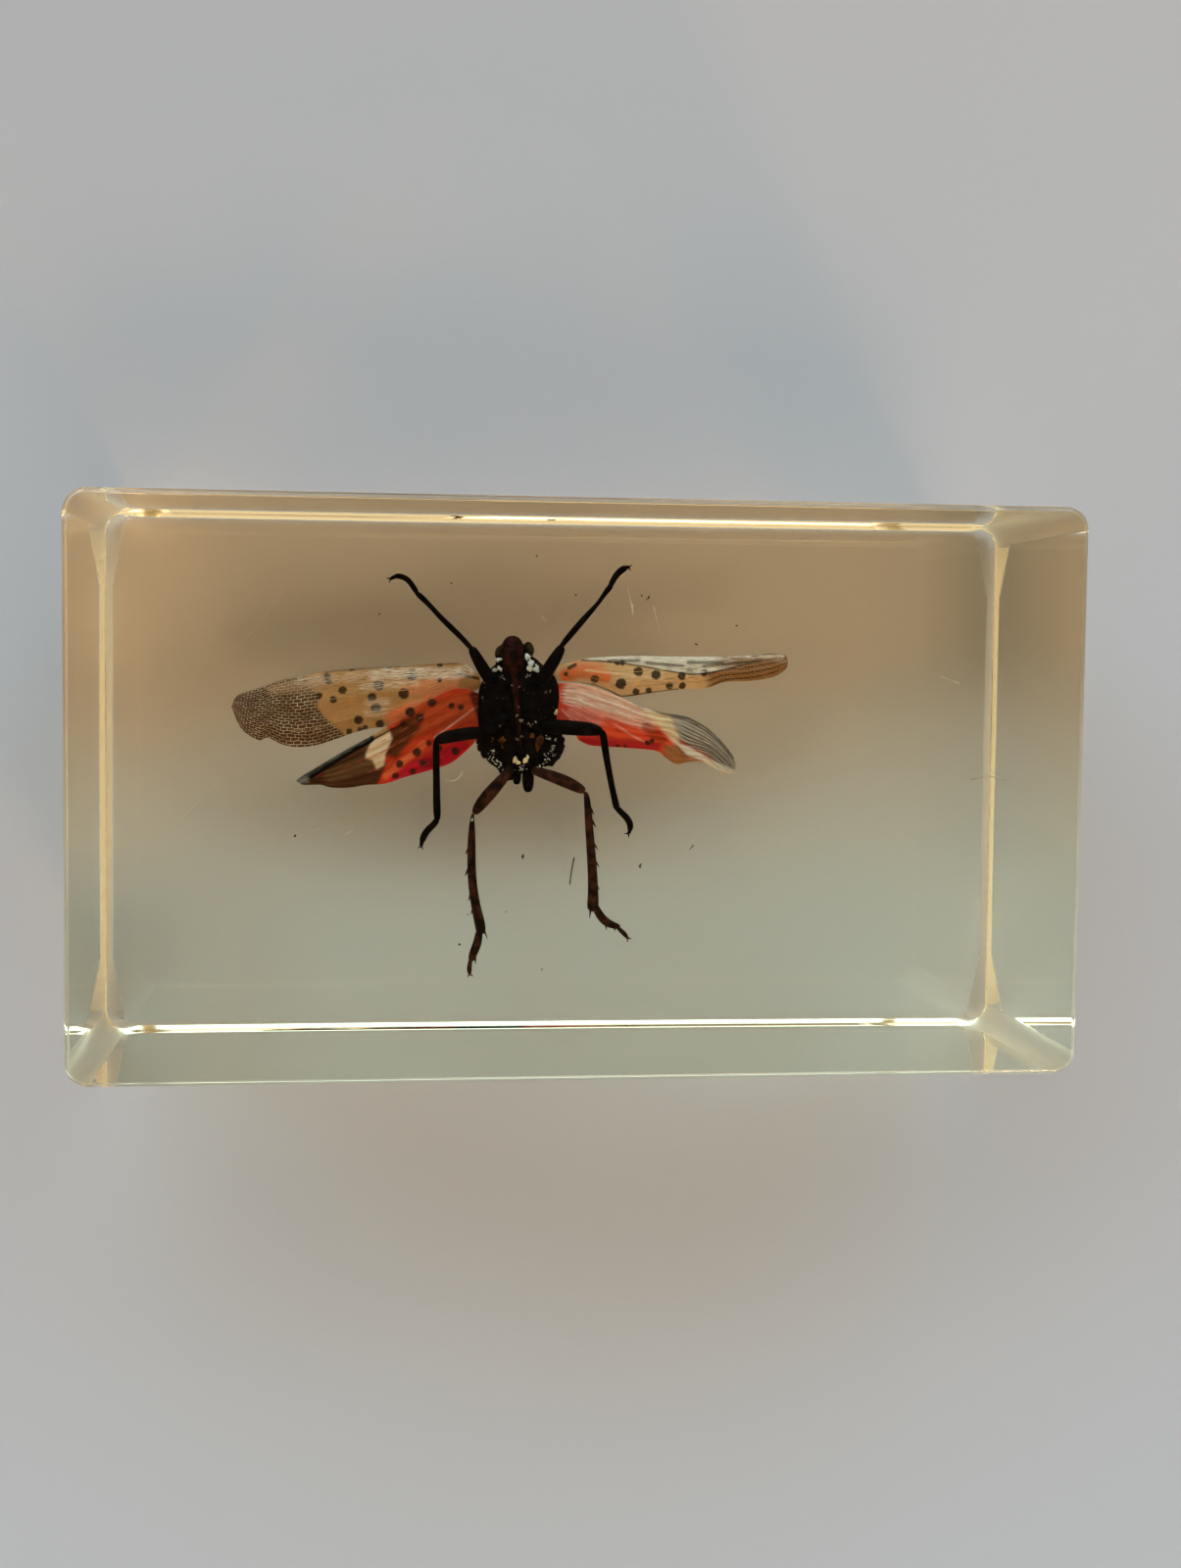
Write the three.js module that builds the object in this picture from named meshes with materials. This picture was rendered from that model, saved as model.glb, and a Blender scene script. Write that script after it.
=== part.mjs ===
// A clear casting-resin block, made to hold a spread planthopper.
// The block is one solid casting: a brick with polished flat faces, rounded corners and softened edges.
// Units are millimetres and +Z is up. The origin is the middle of the underside.
// +X runs along the length, towards the specimen's right in plan, and +Y towards the specimen's head.

import * as THREE from "three";

// Driving dimensions of the casting.
const BLOCK_LENGTH = 73;
const BLOCK_WIDTH = 41.6;
const BLOCK_HEIGHT = 30;
const CORNER_RADIUS = 1.7; // the four upright corners, worn round by sanding
const EDGE_RADIUS = 0.9; // the edges round the top face and the underside

// How finely the round stretches are stepped.
const CORNER_STEPS = 8;
const EDGE_STEPS = 6;

const RESIN_COLOUR = "#d8c98a"; // pale straw, as a yellowed clear resin looks through its long side
const RESIN_ROUGHNESS = 0.05;

// A rectangle with quarter-circle corners, centred on the origin.
function roundedRectangle(length, width, radius) {
  const right = length / 2;
  const back = width / 2;
  const outline = new THREE.Shape();
  outline.moveTo(-right + radius, -back);
  outline.lineTo(right - radius, -back);
  outline.absarc(right - radius, -back + radius, radius, -Math.PI / 2, 0);
  outline.lineTo(right, back - radius);
  outline.absarc(right - radius, back - radius, radius, 0, Math.PI / 2);
  outline.lineTo(-right + radius, back);
  outline.absarc(-right + radius, back - radius, radius, Math.PI / 2, Math.PI);
  outline.lineTo(-right, -back + radius);
  outline.absarc(-right + radius, -back + radius, radius, Math.PI, Math.PI * 1.5);
  return outline;
}

// The casting: the plan outline drawn in by the edge radius, extruded upwards, and let out again by
// a round bevel at both ends, so the two flat faces meet the four walls in soft edges.
function resinBlock() {
  const outline = roundedRectangle(
    BLOCK_LENGTH - 2 * EDGE_RADIUS,
    BLOCK_WIDTH - 2 * EDGE_RADIUS,
    CORNER_RADIUS - EDGE_RADIUS,
  );
  const geometry = new THREE.ExtrudeGeometry(outline, {
    depth: BLOCK_HEIGHT - 2 * EDGE_RADIUS,
    curveSegments: CORNER_STEPS,
    bevelEnabled: true,
    bevelSize: EDGE_RADIUS,
    bevelThickness: EDGE_RADIUS,
    bevelSegments: EDGE_STEPS,
  });
  const material = new THREE.MeshStandardMaterial({
    color: RESIN_COLOUR,
    roughness: RESIN_ROUGHNESS,
    metalness: 0,
  });
  const mesh = new THREE.Mesh(geometry, material);
  mesh.name = "resin_block";
  mesh.position.z = EDGE_RADIUS;
  return mesh;
}

const specimenBlock = new THREE.Group();
specimenBlock.add(resinBlock());

export default specimenBlock;
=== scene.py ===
# %% [markdown]
# # A planthopper cast in a resin block
#
# This lesson builds a small clear block of casting resin with one dried planthopper sealed in it. The insect
# lies on its back, so its underside, its legs and the spread wings are what the top face shows. The packed
# frame gives the block's real size and place, and every piece is made around it, in metres, with +Z up.

# %% Load the frame
import math
import random

import bpy
import numpy as np
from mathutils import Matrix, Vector


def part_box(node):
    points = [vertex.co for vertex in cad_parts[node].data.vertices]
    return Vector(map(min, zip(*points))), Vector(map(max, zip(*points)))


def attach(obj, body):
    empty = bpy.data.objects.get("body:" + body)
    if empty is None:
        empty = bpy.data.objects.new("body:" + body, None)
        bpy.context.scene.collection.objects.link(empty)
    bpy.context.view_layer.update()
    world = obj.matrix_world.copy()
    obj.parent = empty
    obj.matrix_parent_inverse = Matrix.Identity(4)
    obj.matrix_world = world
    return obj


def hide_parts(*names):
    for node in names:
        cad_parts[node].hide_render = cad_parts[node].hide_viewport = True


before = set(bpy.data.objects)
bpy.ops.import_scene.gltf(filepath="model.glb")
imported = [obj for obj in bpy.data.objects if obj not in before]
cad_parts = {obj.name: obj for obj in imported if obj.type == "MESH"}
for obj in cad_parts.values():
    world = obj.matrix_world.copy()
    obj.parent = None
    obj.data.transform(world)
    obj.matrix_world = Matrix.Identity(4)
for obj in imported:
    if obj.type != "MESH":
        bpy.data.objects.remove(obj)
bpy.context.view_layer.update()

# %% [markdown]
# ## Helpers that every step shares
#
# Sizes are written in millimetres, as a maker would measure them, and one factor turns them to metres. A
# colour is picked as an sRGB hex value, as in a paint program, but a shader wants linear light, so one
# function turns it. One more adds a shader node with its settings and links, which keeps each material short
# enough to read.

# %% Millimetres, colours and nodes
MM = 0.001


def linear(hex_colour, alpha=1.0):
    """An sRGB hex colour as linear red, green, blue and alpha."""
    channels = [int(hex_colour[i:i + 2], 16) / 255 for i in (1, 3, 5)]
    curved = [c / 12.92 if c <= 0.04045 else ((c + 0.055) / 1.055) ** 2.4 for c in channels]
    return (*curved, alpha)


def add_node(material, kind, inputs=None, **settings):
    """Adds one shader node. An input takes a value, a socket, or a node, meaning its first output."""
    node = material.node_tree.nodes.new(kind)
    for name, value in settings.items():
        if hasattr(node, name):
            setattr(node, name, value)
        else:
            node.inputs[name.replace("_", " ")].default_value = value
    for name, source in (inputs or {}).items():
        if isinstance(source, bpy.types.Node):
            source = source.outputs[0]
        if isinstance(source, bpy.types.NodeSocket):
            material.node_tree.links.new(source, node.inputs[name])
        else:
            node.inputs[name].default_value = source
    return node


def new_material(name):
    """A material with an empty node tree."""
    material = bpy.data.materials.new(name)
    material.use_nodes = True
    material.node_tree.nodes.clear()
    return material


# %% [markdown]
# An operator acts on all that is selected, so each step first drops the selection and then picks its own
# piece, or, in edit mode, its own edges and faces by their place. A finished piece keeps its place in its
# mesh and not in its object, so that patterns and the export agree on where it is.

# %% Selecting
def deselect():
    """Leaves edit mode and drops the selection, so that the next operator acts only on what is added next."""
    if bpy.context.object and bpy.context.object.mode == "EDIT":
        bpy.ops.object.mode_set(mode="OBJECT")
    bpy.ops.object.select_all(action="DESELECT")


def pick(piece):
    """Selects one piece alone and makes it the active one."""
    deselect()
    piece.select_set(True)
    bpy.context.view_layer.objects.active = piece


def rest_at_origin(piece):
    """Moves a finished piece's place, turn and size into its mesh, so its object sits at the origin."""
    pick(piece)
    bpy.ops.object.transform_apply(location=True, rotation=True, scale=True)


def select_where(piece, kind, test):
    """In edit mode, selects and counts the vertices, edges or faces whose corners pass a test."""
    bpy.ops.mesh.select_mode(type=kind)
    bpy.ops.mesh.select_all(action="DESELECT")
    bpy.ops.object.mode_set(mode="OBJECT")
    mesh = piece.data
    parts = {"VERT": mesh.vertices, "EDGE": mesh.edges, "FACE": mesh.polygons}[kind]
    count = 0
    for part in parts:
        corners = [mesh.vertices[i].co for i in ([part.index] if kind == "VERT" else part.vertices)]
        part.select = test(corners)
        count += part.select
    bpy.ops.object.mode_set(mode="EDIT")
    return count


# %% [markdown]
# ## The camera
#
# The block is looked at from above, a little to the left of its middle and towards its back edge, from about
# 12 cm. From so near, a lens shows the walls through the top face, and refraction lifts the underside. The
# small shift is what a framing cropped from a wider picture has: it slides the picture without tilting the
# view.

# %% Camera
CAMERA_PLACE = (-15.37, 8.6, 145.2)  # mm, from the middle of the block's underside
CAMERA_TURN = (-2.948, -5.577, 0.578)  # degrees about X, Y and Z
CAMERA_LENS = 37.7  # mm
CAMERA_SENSOR = 36  # mm
CAMERA_SHIFT = (0.0375, -0.02)  # shares of the long side of the picture
NEAREST = 5  # mm from the lens, nearer than which nothing is drawn

camera_data = bpy.data.cameras.new("camera")
camera_data.lens = CAMERA_LENS
camera_data.sensor_width = CAMERA_SENSOR
camera_data.shift_x, camera_data.shift_y = CAMERA_SHIFT
camera_data.clip_start = NEAREST * MM
camera = bpy.data.objects.new("camera", camera_data)
camera.location = Vector(CAMERA_PLACE) * MM
camera.rotation_euler = [math.radians(angle) for angle in CAMERA_TURN]
bpy.context.scene.collection.objects.link(camera)
bpy.context.scene.camera = camera
print("camera stands", round(camera.location.z / MM), "mm above the table")

# %% [markdown]
# ## The paper and the light
#
# The block lies on plain pale paper in a warm room, with a cool sky window behind it. A small lamp and a
# softbox stand in front, and a second softbox behind. The window stands low, so its light crosses the casting
# and turns the near half of the paper under it cool, while the lamps in front light the far half warm.
# Nothing shines overhead, so the polished top mirrors nothing and the insect keeps its blacks.

# %% Paper
PAPER_SIZE = 3000  # mm, past the edge of every view
AIR_GAP = 0.05  # mm of air that the paper's fibres leave under the polished underside

# Uncoated paper: pressed but not glazed, so its fibres scatter light evenly and it has no shine.
pale_paper = new_material("uncoated_pale_grey_paper")
paper_shader = add_node(pale_paper, "ShaderNodeBsdfDiffuse", Color=linear("#C1C0C4"), Roughness=0.5)
add_node(pale_paper, "ShaderNodeOutputMaterial", {"Surface": paper_shader})

deselect()
bpy.ops.mesh.primitive_plane_add(size=PAPER_SIZE * MM, location=(0, 0, -AIR_GAP * MM))
paper = bpy.context.object
paper.name = "paper"
paper.data.materials.append(pale_paper)
print("paper:", PAPER_SIZE, "mm square")

# %% [markdown]
# A warm room fills the sphere of directions. A cool sky window stands behind the block, a little to the left,
# and reaches from the table's edge up to WINDOW_TOP. From SHADE upwards it is dark. A direction's parts along
# X, Y and Z say how far it points sideways, backward and upward, and each border is a soft step on one of
# them.

# %% Room and sky window
WINDOW_TURN = 10.0  # degrees from straight behind towards the left
WINDOW_TOP = (0.80, 0.66)  # upward share of a direction where the window is gone and full
SIDEWAYS_LOSS = 0.8  # how much of its sideways share a direction loses from its backward share
WINDOW_SIDE = (-0.15, 0.15)  # backward share, less that loss, where the window begins and is full
SHADE = (0.74, 0.88)  # upward share where the dark part overhead begins and is full

world = bpy.data.worlds.new("room")
bpy.context.scene.world = world
world.use_nodes = True
world.node_tree.nodes.clear()
look = add_node(world, "ShaderNodeTexCoord")
turned = add_node(world, "ShaderNodeMapping", {"Vector": look.outputs["Object"]},
                  Rotation=(0, 0, -math.radians(WINDOW_TURN)))
axes = add_node(world, "ShaderNodeSeparateXYZ", {"Vector": turned})
sideways = add_node(world, "ShaderNodeMath", {0: axes.outputs["X"]}, operation="ABSOLUTE")
backward = add_node(world, "ShaderNodeMath", {0: sideways, 1: -SIDEWAYS_LOSS, 2: axes.outputs["Y"]},
                    operation="MULTIPLY_ADD")
window_side = add_node(world, "ShaderNodeMapRange", {"Value": backward}, interpolation_type="SMOOTHSTEP",
                       From_Min=WINDOW_SIDE[0], From_Max=WINDOW_SIDE[1])
window_top = add_node(world, "ShaderNodeMapRange", {"Value": axes.outputs["Z"]},
                      interpolation_type="SMOOTHSTEP", From_Min=WINDOW_TOP[0], From_Max=WINDOW_TOP[1])
window_part = add_node(world, "ShaderNodeMath", {0: window_side, 1: window_top}, operation="MULTIPLY")
warm_room = add_node(world, "ShaderNodeBackground", Color=linear("#FFF1DA"), Strength=0.93)
sky_window = add_node(world, "ShaderNodeBackground", Color=linear("#B8DCF0"), Strength=3.7)
around = add_node(world, "ShaderNodeMixShader", {0: window_part, 1: warm_room, 2: sky_window})
dark_above = add_node(world, "ShaderNodeBackground", Color=linear("#B09880"), Strength=0.04)
overhead = add_node(world, "ShaderNodeMapRange", {"Value": axes.outputs["Z"]},
                    interpolation_type="SMOOTHSTEP", From_Min=SHADE[0], From_Max=SHADE[1])
seen = add_node(world, "ShaderNodeMixShader", {0: overhead, 1: around, 2: dark_above})
add_node(world, "ShaderNodeOutputWorld", {"Surface": seen})
print("room:", len(world.node_tree.nodes), "nodes")

# %% [markdown]
# Three area lights face the block. The small lamp is warm and gives sharp glints. The two softboxes are
# broad, because only broad light finds its way through the resin to the insect: the front one lights the far
# half of the inside, and the back one the near half.


# %% Lamps
def add_lamp(name, place, size, watts, colour):
    """Adds a soft square light, with its place and its side in metres, that faces the block."""
    light = bpy.data.lights.new(name, "AREA")
    light.shape = "RECTANGLE"
    light.size = light.size_y = size
    light.energy = watts
    light.color = linear(colour)[:3]
    lamp = bpy.data.objects.new(name, light)
    lamp.location = place
    lamp.rotation_euler = (-Vector(place)).to_track_quat("-Z", "Y").to_euler()
    bpy.context.scene.collection.objects.link(lamp)
    print(name + ":", watts, "W")


add_lamp("small_warm_lamp", (0.55, -1.05, 0.60), 0.14, 2.2, "#FFCB95")
add_lamp("front_softbox", (0.22, -0.65, 0.92), 0.40, 2.0, "#FFE0BC")
add_lamp("back_softbox", (-0.25, 0.70, 0.92), 0.40, 1.0, "#FFF2E0")

# %% [markdown]
# ## The casting
#
# Clear polyester resin is poured in a mould, cured, sawn and polished. On the real block that leaves flat,
# glossy faces. The rim of the top is only just broken, but the underside was sanded to a narrow slope all
# round, and the sander dug deeper at the corners. Along the two long sides that slope was polished and is a
# mirror from above: it shows as bright lines. At the two ends, and on the upright corners, the sander's grain
# was left.

# %% Clear casting resin
RESIN_IOR = 1.55  # cured polyester
# A few millimetres of this resin look clear, and the whole length of the block looks gold.
clear_resin = new_material("yellowed_clear_polyester_resin")
# The polished faces have no roughness. The sander's grain is kept on the mesh, as roughness from 0 to 1.
sanding = add_node(clear_resin, "ShaderNodeAttribute", attribute_name="sanding")
resin_surface = add_node(clear_resin, "ShaderNodeBsdfPrincipled", {"Roughness": sanding.outputs["Fac"]},
                         Base_Color=(1, 1, 1, 1), IOR=RESIN_IOR, Transmission_Weight=1.0)
resin_depth = add_node(clear_resin, "ShaderNodeVolumeAbsorption", Color=linear("#FBEDC0"), Density=19.0)
add_node(clear_resin, "ShaderNodeOutputMaterial", {"Surface": resin_surface, "Volume": resin_depth})
print(clear_resin.name + ":", len(clear_resin.node_tree.nodes), "nodes")

# %% [markdown]
# A cube at the frame's size is the start. Cuts across it give the slope places to bend. The upright corners
# and the top's rim are bevelled round. The underside is inset, the old rim is raised to make the slope, and
# the inset is drawn in at each corner and nudged along its sides, because a hand on a sander is never quite
# even.

# %% Measures of the block
CORNER_RADIUS = 1.7  # mm, the upright corners
TOP_RIM_RADIUS = 0.5  # mm
SLOPE_WIDTH = 0.5  # mm, the sanded slope round the underside
LONG_SIDE_SLOPE = 0.32  # mm, its width along the two long sides
SHOULDER = 0.1  # mm, how soft the slope's two shoulders are
SHARP = 25  # degrees, the turn from which an edge counts as a shoulder
CORNER_DIG = 1.0  # mm deeper along X at the underside's corners
CORNER_REACH = 4.0  # mm from a corner that the digging reaches
HAND = 0.03  # mm, how far the sanding strays at the two ends
END_CUTS = (-15, -5, 5, 15)  # mm, where the slope at the two ends may bend
TOUCHING = 1e-6  # metres, how near a place counts as lying on a face
NEAR = 0.1  # mm, how near counts as the same place

block_low, block_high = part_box("resin_block")
block_size = block_high - block_low
half = block_size / 2


def past_straight_sides(point):
    """How far out a point lies, measured from the centre of its rounded corner or from its straight side."""
    beyond_x = max(0, abs(point.x) - half.x + CORNER_RADIUS * MM)
    beyond_y = max(0, abs(point.y) - half.y + CORNER_RADIUS * MM)
    return math.hypot(beyond_x, beyond_y) / MM


def on_outline(point):
    """Whether a point lies on the block's outline in plan."""
    return past_straight_sides(point) > CORNER_RADIUS - NEAR / 2


def on_top(point):
    """Whether a point lies on the top face."""
    return point.z > block_size.z - TOUCHING


def on_underside(point):
    """Whether a point lies on the underside."""
    return point.z < TOUCHING


def is_upright(ends):
    """Whether an edge stands upright at a corner."""
    at_corner = all(half.x - abs(end.x) < TOUCHING and half.y - abs(end.y) < TOUCHING for end in ends)
    return at_corner and abs(ends[0].z - ends[1].z) > block_size.z / 2


print("block:", [round(side / MM, 1) for side in block_size], "mm")

# %% [markdown]
# The block is shaped first, with a slope that is even all round.

# %% Cast and sawn block
deselect()
bpy.ops.mesh.primitive_cube_add(size=1, location=(block_low + block_high) / 2)
casting = bpy.context.object
casting.name = "resin_casting"
casting.scale = block_size
rest_at_origin(casting)
bpy.ops.object.mode_set(mode="EDIT")
for y in END_CUTS:
    bpy.ops.mesh.select_all(action="SELECT")
    bpy.ops.mesh.bisect(plane_co=(0, y * MM, 0), plane_no=(0, 1, 0))
uprights = select_where(casting, "EDGE", is_upright)
bpy.ops.mesh.bevel(offset=CORNER_RADIUS * MM, segments=24, profile=0.5)
rim = select_where(casting, "EDGE", lambda ends: all(on_outline(end) and on_top(end) for end in ends))
bpy.ops.mesh.bevel(offset=TOP_RIM_RADIUS * MM, segments=6, profile=0.5)
select_where(casting, "FACE", lambda corners: all(on_underside(corner) for corner in corners))
bpy.ops.mesh.inset(thickness=SLOPE_WIDTH * MM)
select_where(casting, "VERT", lambda place: on_underside(place[0]) and on_outline(place[0]))
bpy.ops.transform.translate(value=(0, 0, SLOPE_WIDTH * MM))
print(uprights, "uprights and", rim, "rim edges rounded")

# %% [markdown]
# Now the sander's hand: the slope is narrower along the long sides, digs in at the corners, and strays a
# little at the two ends. Its two shoulders are softened last.

# %% Sanded slope
select_where(casting, "VERT", lambda place: on_underside(place[0]) and past_straight_sides(place[0]) > NEAR)
narrower = (half.y - LONG_SIDE_SLOPE * MM) / (half.y - SLOPE_WIDTH * MM)
bpy.ops.transform.resize(value=(1, narrower, 1), center_override=(0, 0, 0))

rng = random.Random(4)
for side_x in (-1, 1):
    for side_y in (-1, 1):
        near = Vector((side_x * half.x, side_y * half.y, 0))
        select_where(casting, "VERT",
                     lambda place: on_underside(place[0]) and (place[0] - near).length < CORNER_REACH * MM)
        bpy.ops.transform.translate(value=(-side_x * CORNER_DIG * rng.uniform(0.75, 1.2) * MM, 0, 0))
for y in END_CUTS:
    for side_x in (-1, 1):
        near = Vector((side_x * (half.x - SLOPE_WIDTH * MM), y * MM, 0))
        select_where(casting, "VERT", lambda place: (place[0] - near).length < NEAR * MM)
        bpy.ops.transform.translate(value=(rng.uniform(-HAND, HAND) * MM, 0, 0))
bpy.ops.mesh.select_mode(type="EDGE")
bpy.ops.mesh.select_all(action="DESELECT")
bpy.ops.mesh.edges_select_sharp(sharpness=math.radians(SHARP))
bpy.ops.mesh.bevel(offset=SHOULDER * MM, segments=3, profile=0.5)
bpy.ops.object.mode_set(mode="OBJECT")
bpy.ops.object.shade_smooth()
flats = casting.modifiers.new("flats", "WEIGHTED_NORMAL")
flats.weight = 100
bpy.ops.object.modifier_apply(modifier=flats.name)
print("casting:", len(casting.data.polygons), "faces")

# %% [markdown]
# The polisher can't reach everywhere. Grain is left on the slope at the two ends and, fainter, on the upright
# corners, so each face there gets its roughness as an attribute.

# %% Sander's grain
SLOPE_GRAIN = 0.5  # roughness left by the sander on the slope at the two ends
CORNER_GRAIN = 0.35  # and on the upright corners, which are rounded by hand
END_ZONE = 4.0  # mm from an end that its slope reaches
MITRE = 0.9  # mm that the ends' grain reaches past the corner's diagonal
LEANS = 0.2  # upward share of a sloping face's direction, and the most that an upright face has
TURNS = 0.05  # share along both X and Y from which an upright face belongs to a rounded corner

grain_left = []
for face in casting.data.polygons:
    middle, facing = face.center, face.normal
    from_end, from_side = half.x - abs(middle.x), half.y - abs(middle.y)
    at_end = from_end < END_ZONE * MM and from_end < from_side + MITRE * MM
    sloping = facing.z < -LEANS and math.hypot(*facing.xy) > LEANS
    on_corner = abs(facing.z) < LEANS and min(abs(facing.x), abs(facing.y)) > TURNS
    if at_end and sloping and middle.z < SLOPE_WIDTH * MM:
        grain_left.append(SLOPE_GRAIN)
    else:
        grain_left.append(CORNER_GRAIN if on_corner else 0.0)
casting.data.materials.append(clear_resin)
casting.data.attributes.new("sanding", "FLOAT", "FACE").data.foreach_set("value", grain_left)
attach(casting, "root")
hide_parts("resin_block")
print("faces that keep the sander's grain:", sum(grain > 0 for grain in grain_left))

# %% [markdown]
# ## Two ways to shape the insect
#
# Legs and body parts are tubes that swell and narrow. Each is lofted: rings are added along a line, stretched
# to a width and a thickness, bridged in pairs and closed at both ends, and one level of subdivision rounds
# them. A wing is a sheet: a flat grid is laid between a leading and a trailing edge, then Solidify gives it a
# body.


# %% Loft a tube through rings
def add_ring(centre, facing, half_width, half_thickness, sides):
    """In edit mode, adds a ring across a direction. Its width lies level and its thickness stands up."""
    turn = facing.to_track_quat("Z", "Y")
    bpy.ops.mesh.select_all(action="DESELECT")
    bpy.ops.mesh.primitive_circle_add(vertices=sides, radius=MM, location=centre, rotation=turn.to_euler())
    bpy.ops.transform.resize(
        value=(half_width, half_thickness, 1),
        orient_type="GLOBAL",
        orient_matrix=turn.to_matrix(),
        orient_matrix_type="GLOBAL",
        center_override=centre,
    )


def pick_vertices(piece, wanted):
    """In edit mode, selects vertices by their numbers, with the edges and faces between them."""
    bpy.ops.mesh.select_mode(type="VERT")
    bpy.ops.mesh.select_all(action="DESELECT")
    bpy.ops.object.mode_set(mode="OBJECT")
    for number in wanted:
        piece.data.vertices[number].select = True
    bpy.ops.object.mode_set(mode="EDIT")


def loft(name, rings, sides=10, rounding=1):
    """A closed tube through rings of (x, y, z, half width, half thickness), all in mm."""
    centres = [Vector(ring[:3]) * MM for ring in rings]
    deselect()
    bpy.ops.mesh.primitive_plane_add(size=MM, location=centres[0])
    piece = bpy.context.object
    piece.name = name
    rest_at_origin(piece)
    bpy.ops.object.mode_set(mode="EDIT")
    bpy.ops.mesh.select_all(action="SELECT")
    bpy.ops.mesh.delete(type="VERT")
    last = len(rings) - 1
    for i, ring in enumerate(rings):
        facing = centres[min(i + 1, last)] - centres[max(i - 1, 0)]
        add_ring(centres[i], facing, ring[3], ring[4], sides)
    for i in range(last):
        pick_vertices(piece, range(i * sides, (i + 2) * sides))
        bpy.ops.mesh.select_mode(type="EDGE")
        bpy.ops.mesh.bridge_edge_loops()
    for i in (0, last):
        pick_vertices(piece, range(i * sides, (i + 1) * sides))
        bpy.ops.mesh.edge_face_add()
    bpy.ops.mesh.select_all(action="SELECT")
    bpy.ops.mesh.normals_make_consistent(inside=False)
    bpy.ops.object.mode_set(mode="OBJECT")
    bpy.ops.object.shade_smooth()
    if rounding:
        round_off = piece.modifiers.new("round_off", "SUBSURF")
        round_off.levels = round_off.render_levels = rounding
        bpy.ops.object.modifier_apply(modifier=round_off.name)
    return piece


# %% [markdown]
# The insect was laid on a first layer of resin that had set, and the rest was poured over it. Each of its
# pieces is lifted onto that layer when it is done. It then gets its finish and rides on the casting's body.

# %% Join and place sealed pieces
FIRST_POUR = 3.0  # mm, how much higher than its own lists the insect lies, on the resin poured before it


def join_pieces(name, pieces):
    """Joins closed shells into one piece."""
    deselect()
    for piece in pieces:
        piece.select_set(True)
    bpy.context.view_layer.objects.active = pieces[0]
    if len(pieces) > 1:
        bpy.ops.object.join()
    pieces[0].name = name
    return pieces[0]


def keep_in_block(piece, material):
    """Lifts a sealed piece onto the first pour, gives it its finish and lets it ride with the block."""
    piece.location.z = FIRST_POUR * MM
    rest_at_origin(piece)
    piece.data.materials.clear()
    piece.data.materials.append(material)
    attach(piece, "root")
    triangles = sum(len(face.vertices) - 2 for face in piece.data.polygons)
    print(piece.name + ":", triangles, "triangles")


# %% [markdown]
# Wings are laid out in plan with a few measures: a smooth line through given points, how far each place is
# from a line or from an outline, and a soft step between two distances.

# %% Lines, distances and soft steps
LINE_PARTS = 12  # parts between two given points


def smooth_line(points, count):
    """Evenly spaced places on a smooth line through given points, by the Catmull-Rom rule."""
    p = np.array(points, dtype=float)
    p = np.vstack([2 * p[0] - p[1], p, 2 * p[-1] - p[-2]])
    t = np.linspace(0, 1, LINE_PARTS, endpoint=False)[:, None]
    curve = []
    for a, b, c, d in zip(p, p[1:], p[2:], p[3:]):
        square, cube = 2 * a - 5 * b + 4 * c - d, 3 * b - a - 3 * c + d
        curve.append(0.5 * (2 * b + (c - a) * t + square * t**2 + cube * t**3))
    curve = np.vstack([*curve, p[-2]])
    run = np.concatenate([[0], np.cumsum(np.linalg.norm(np.diff(curve, axis=0), axis=1))])
    even = np.linspace(0, run[-1], count)
    return np.stack([np.interp(even, run, curve[:, k]) for k in range(p.shape[1])], axis=1)


def distance_to_line(places, points):
    """How far each place is from a line through points, in plan, and how far along the line that is."""
    best, along = np.full(len(places), 1e9), np.zeros(len(places))
    points = np.array(points, dtype=float)
    for i, (start, end) in enumerate(zip(points, points[1:])):
        step = end - start
        share = np.clip(((places - start) @ step) / (step @ step), 0, 1)
        gap = np.linalg.norm(places - start - share[:, None] * step, axis=1)
        along = np.where(gap < best, (i + share) / (len(points) - 1), along)
        best = np.minimum(best, gap)
    return best, along


def inside_outline(places, outline):
    """Signed distance to a closed outline, negative inside."""
    points = np.array(outline, dtype=float)
    gap, _ = distance_to_line(places, np.vstack([points, points[:1]]))
    x, y = places[:, 0], places[:, 1]
    crossings = np.zeros(len(places), dtype=bool)
    for (ax, ay), (bx, by) in zip(points, np.roll(points, -1, axis=0)):
        spans = (ay > y) != (by > y)
        height = by - ay if by != ay else 1e-9
        crossings ^= spans & (x < ax + (y - ay) * (bx - ax) / height)
    return np.where(crossings, -gap, gap)


def ease(value, low, high):
    """0 below low, 1 above high, and a smooth step between. It falls instead where low is above high."""
    t = np.clip((value - low) / (high - low), 0, 1)
    return t * t * (3 - 2 * t)


# %% [markdown]
# A wing is a grid laid between its leading and its trailing edge. It is arched, pleated and rippled, as it
# dried. Its pigment is laid on in washes, strokes and patches, as with a brush, and is kept on the grid's
# points. Dark spots, the painted silver sheen and the net are marks of their own, because the shader draws
# their fine edges.

# %% A wing's sheet
STEP = 0.12  # mm between the grid lines of a wing, fine enough for its smallest spots
WIDEST = 7.0  # mm, the widest wing
RIPPLE = 0.06  # mm, how far the sheet ripples
NO_SPOT = 9.0  # mm, a distance to the nearest spot that is farther than any


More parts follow.
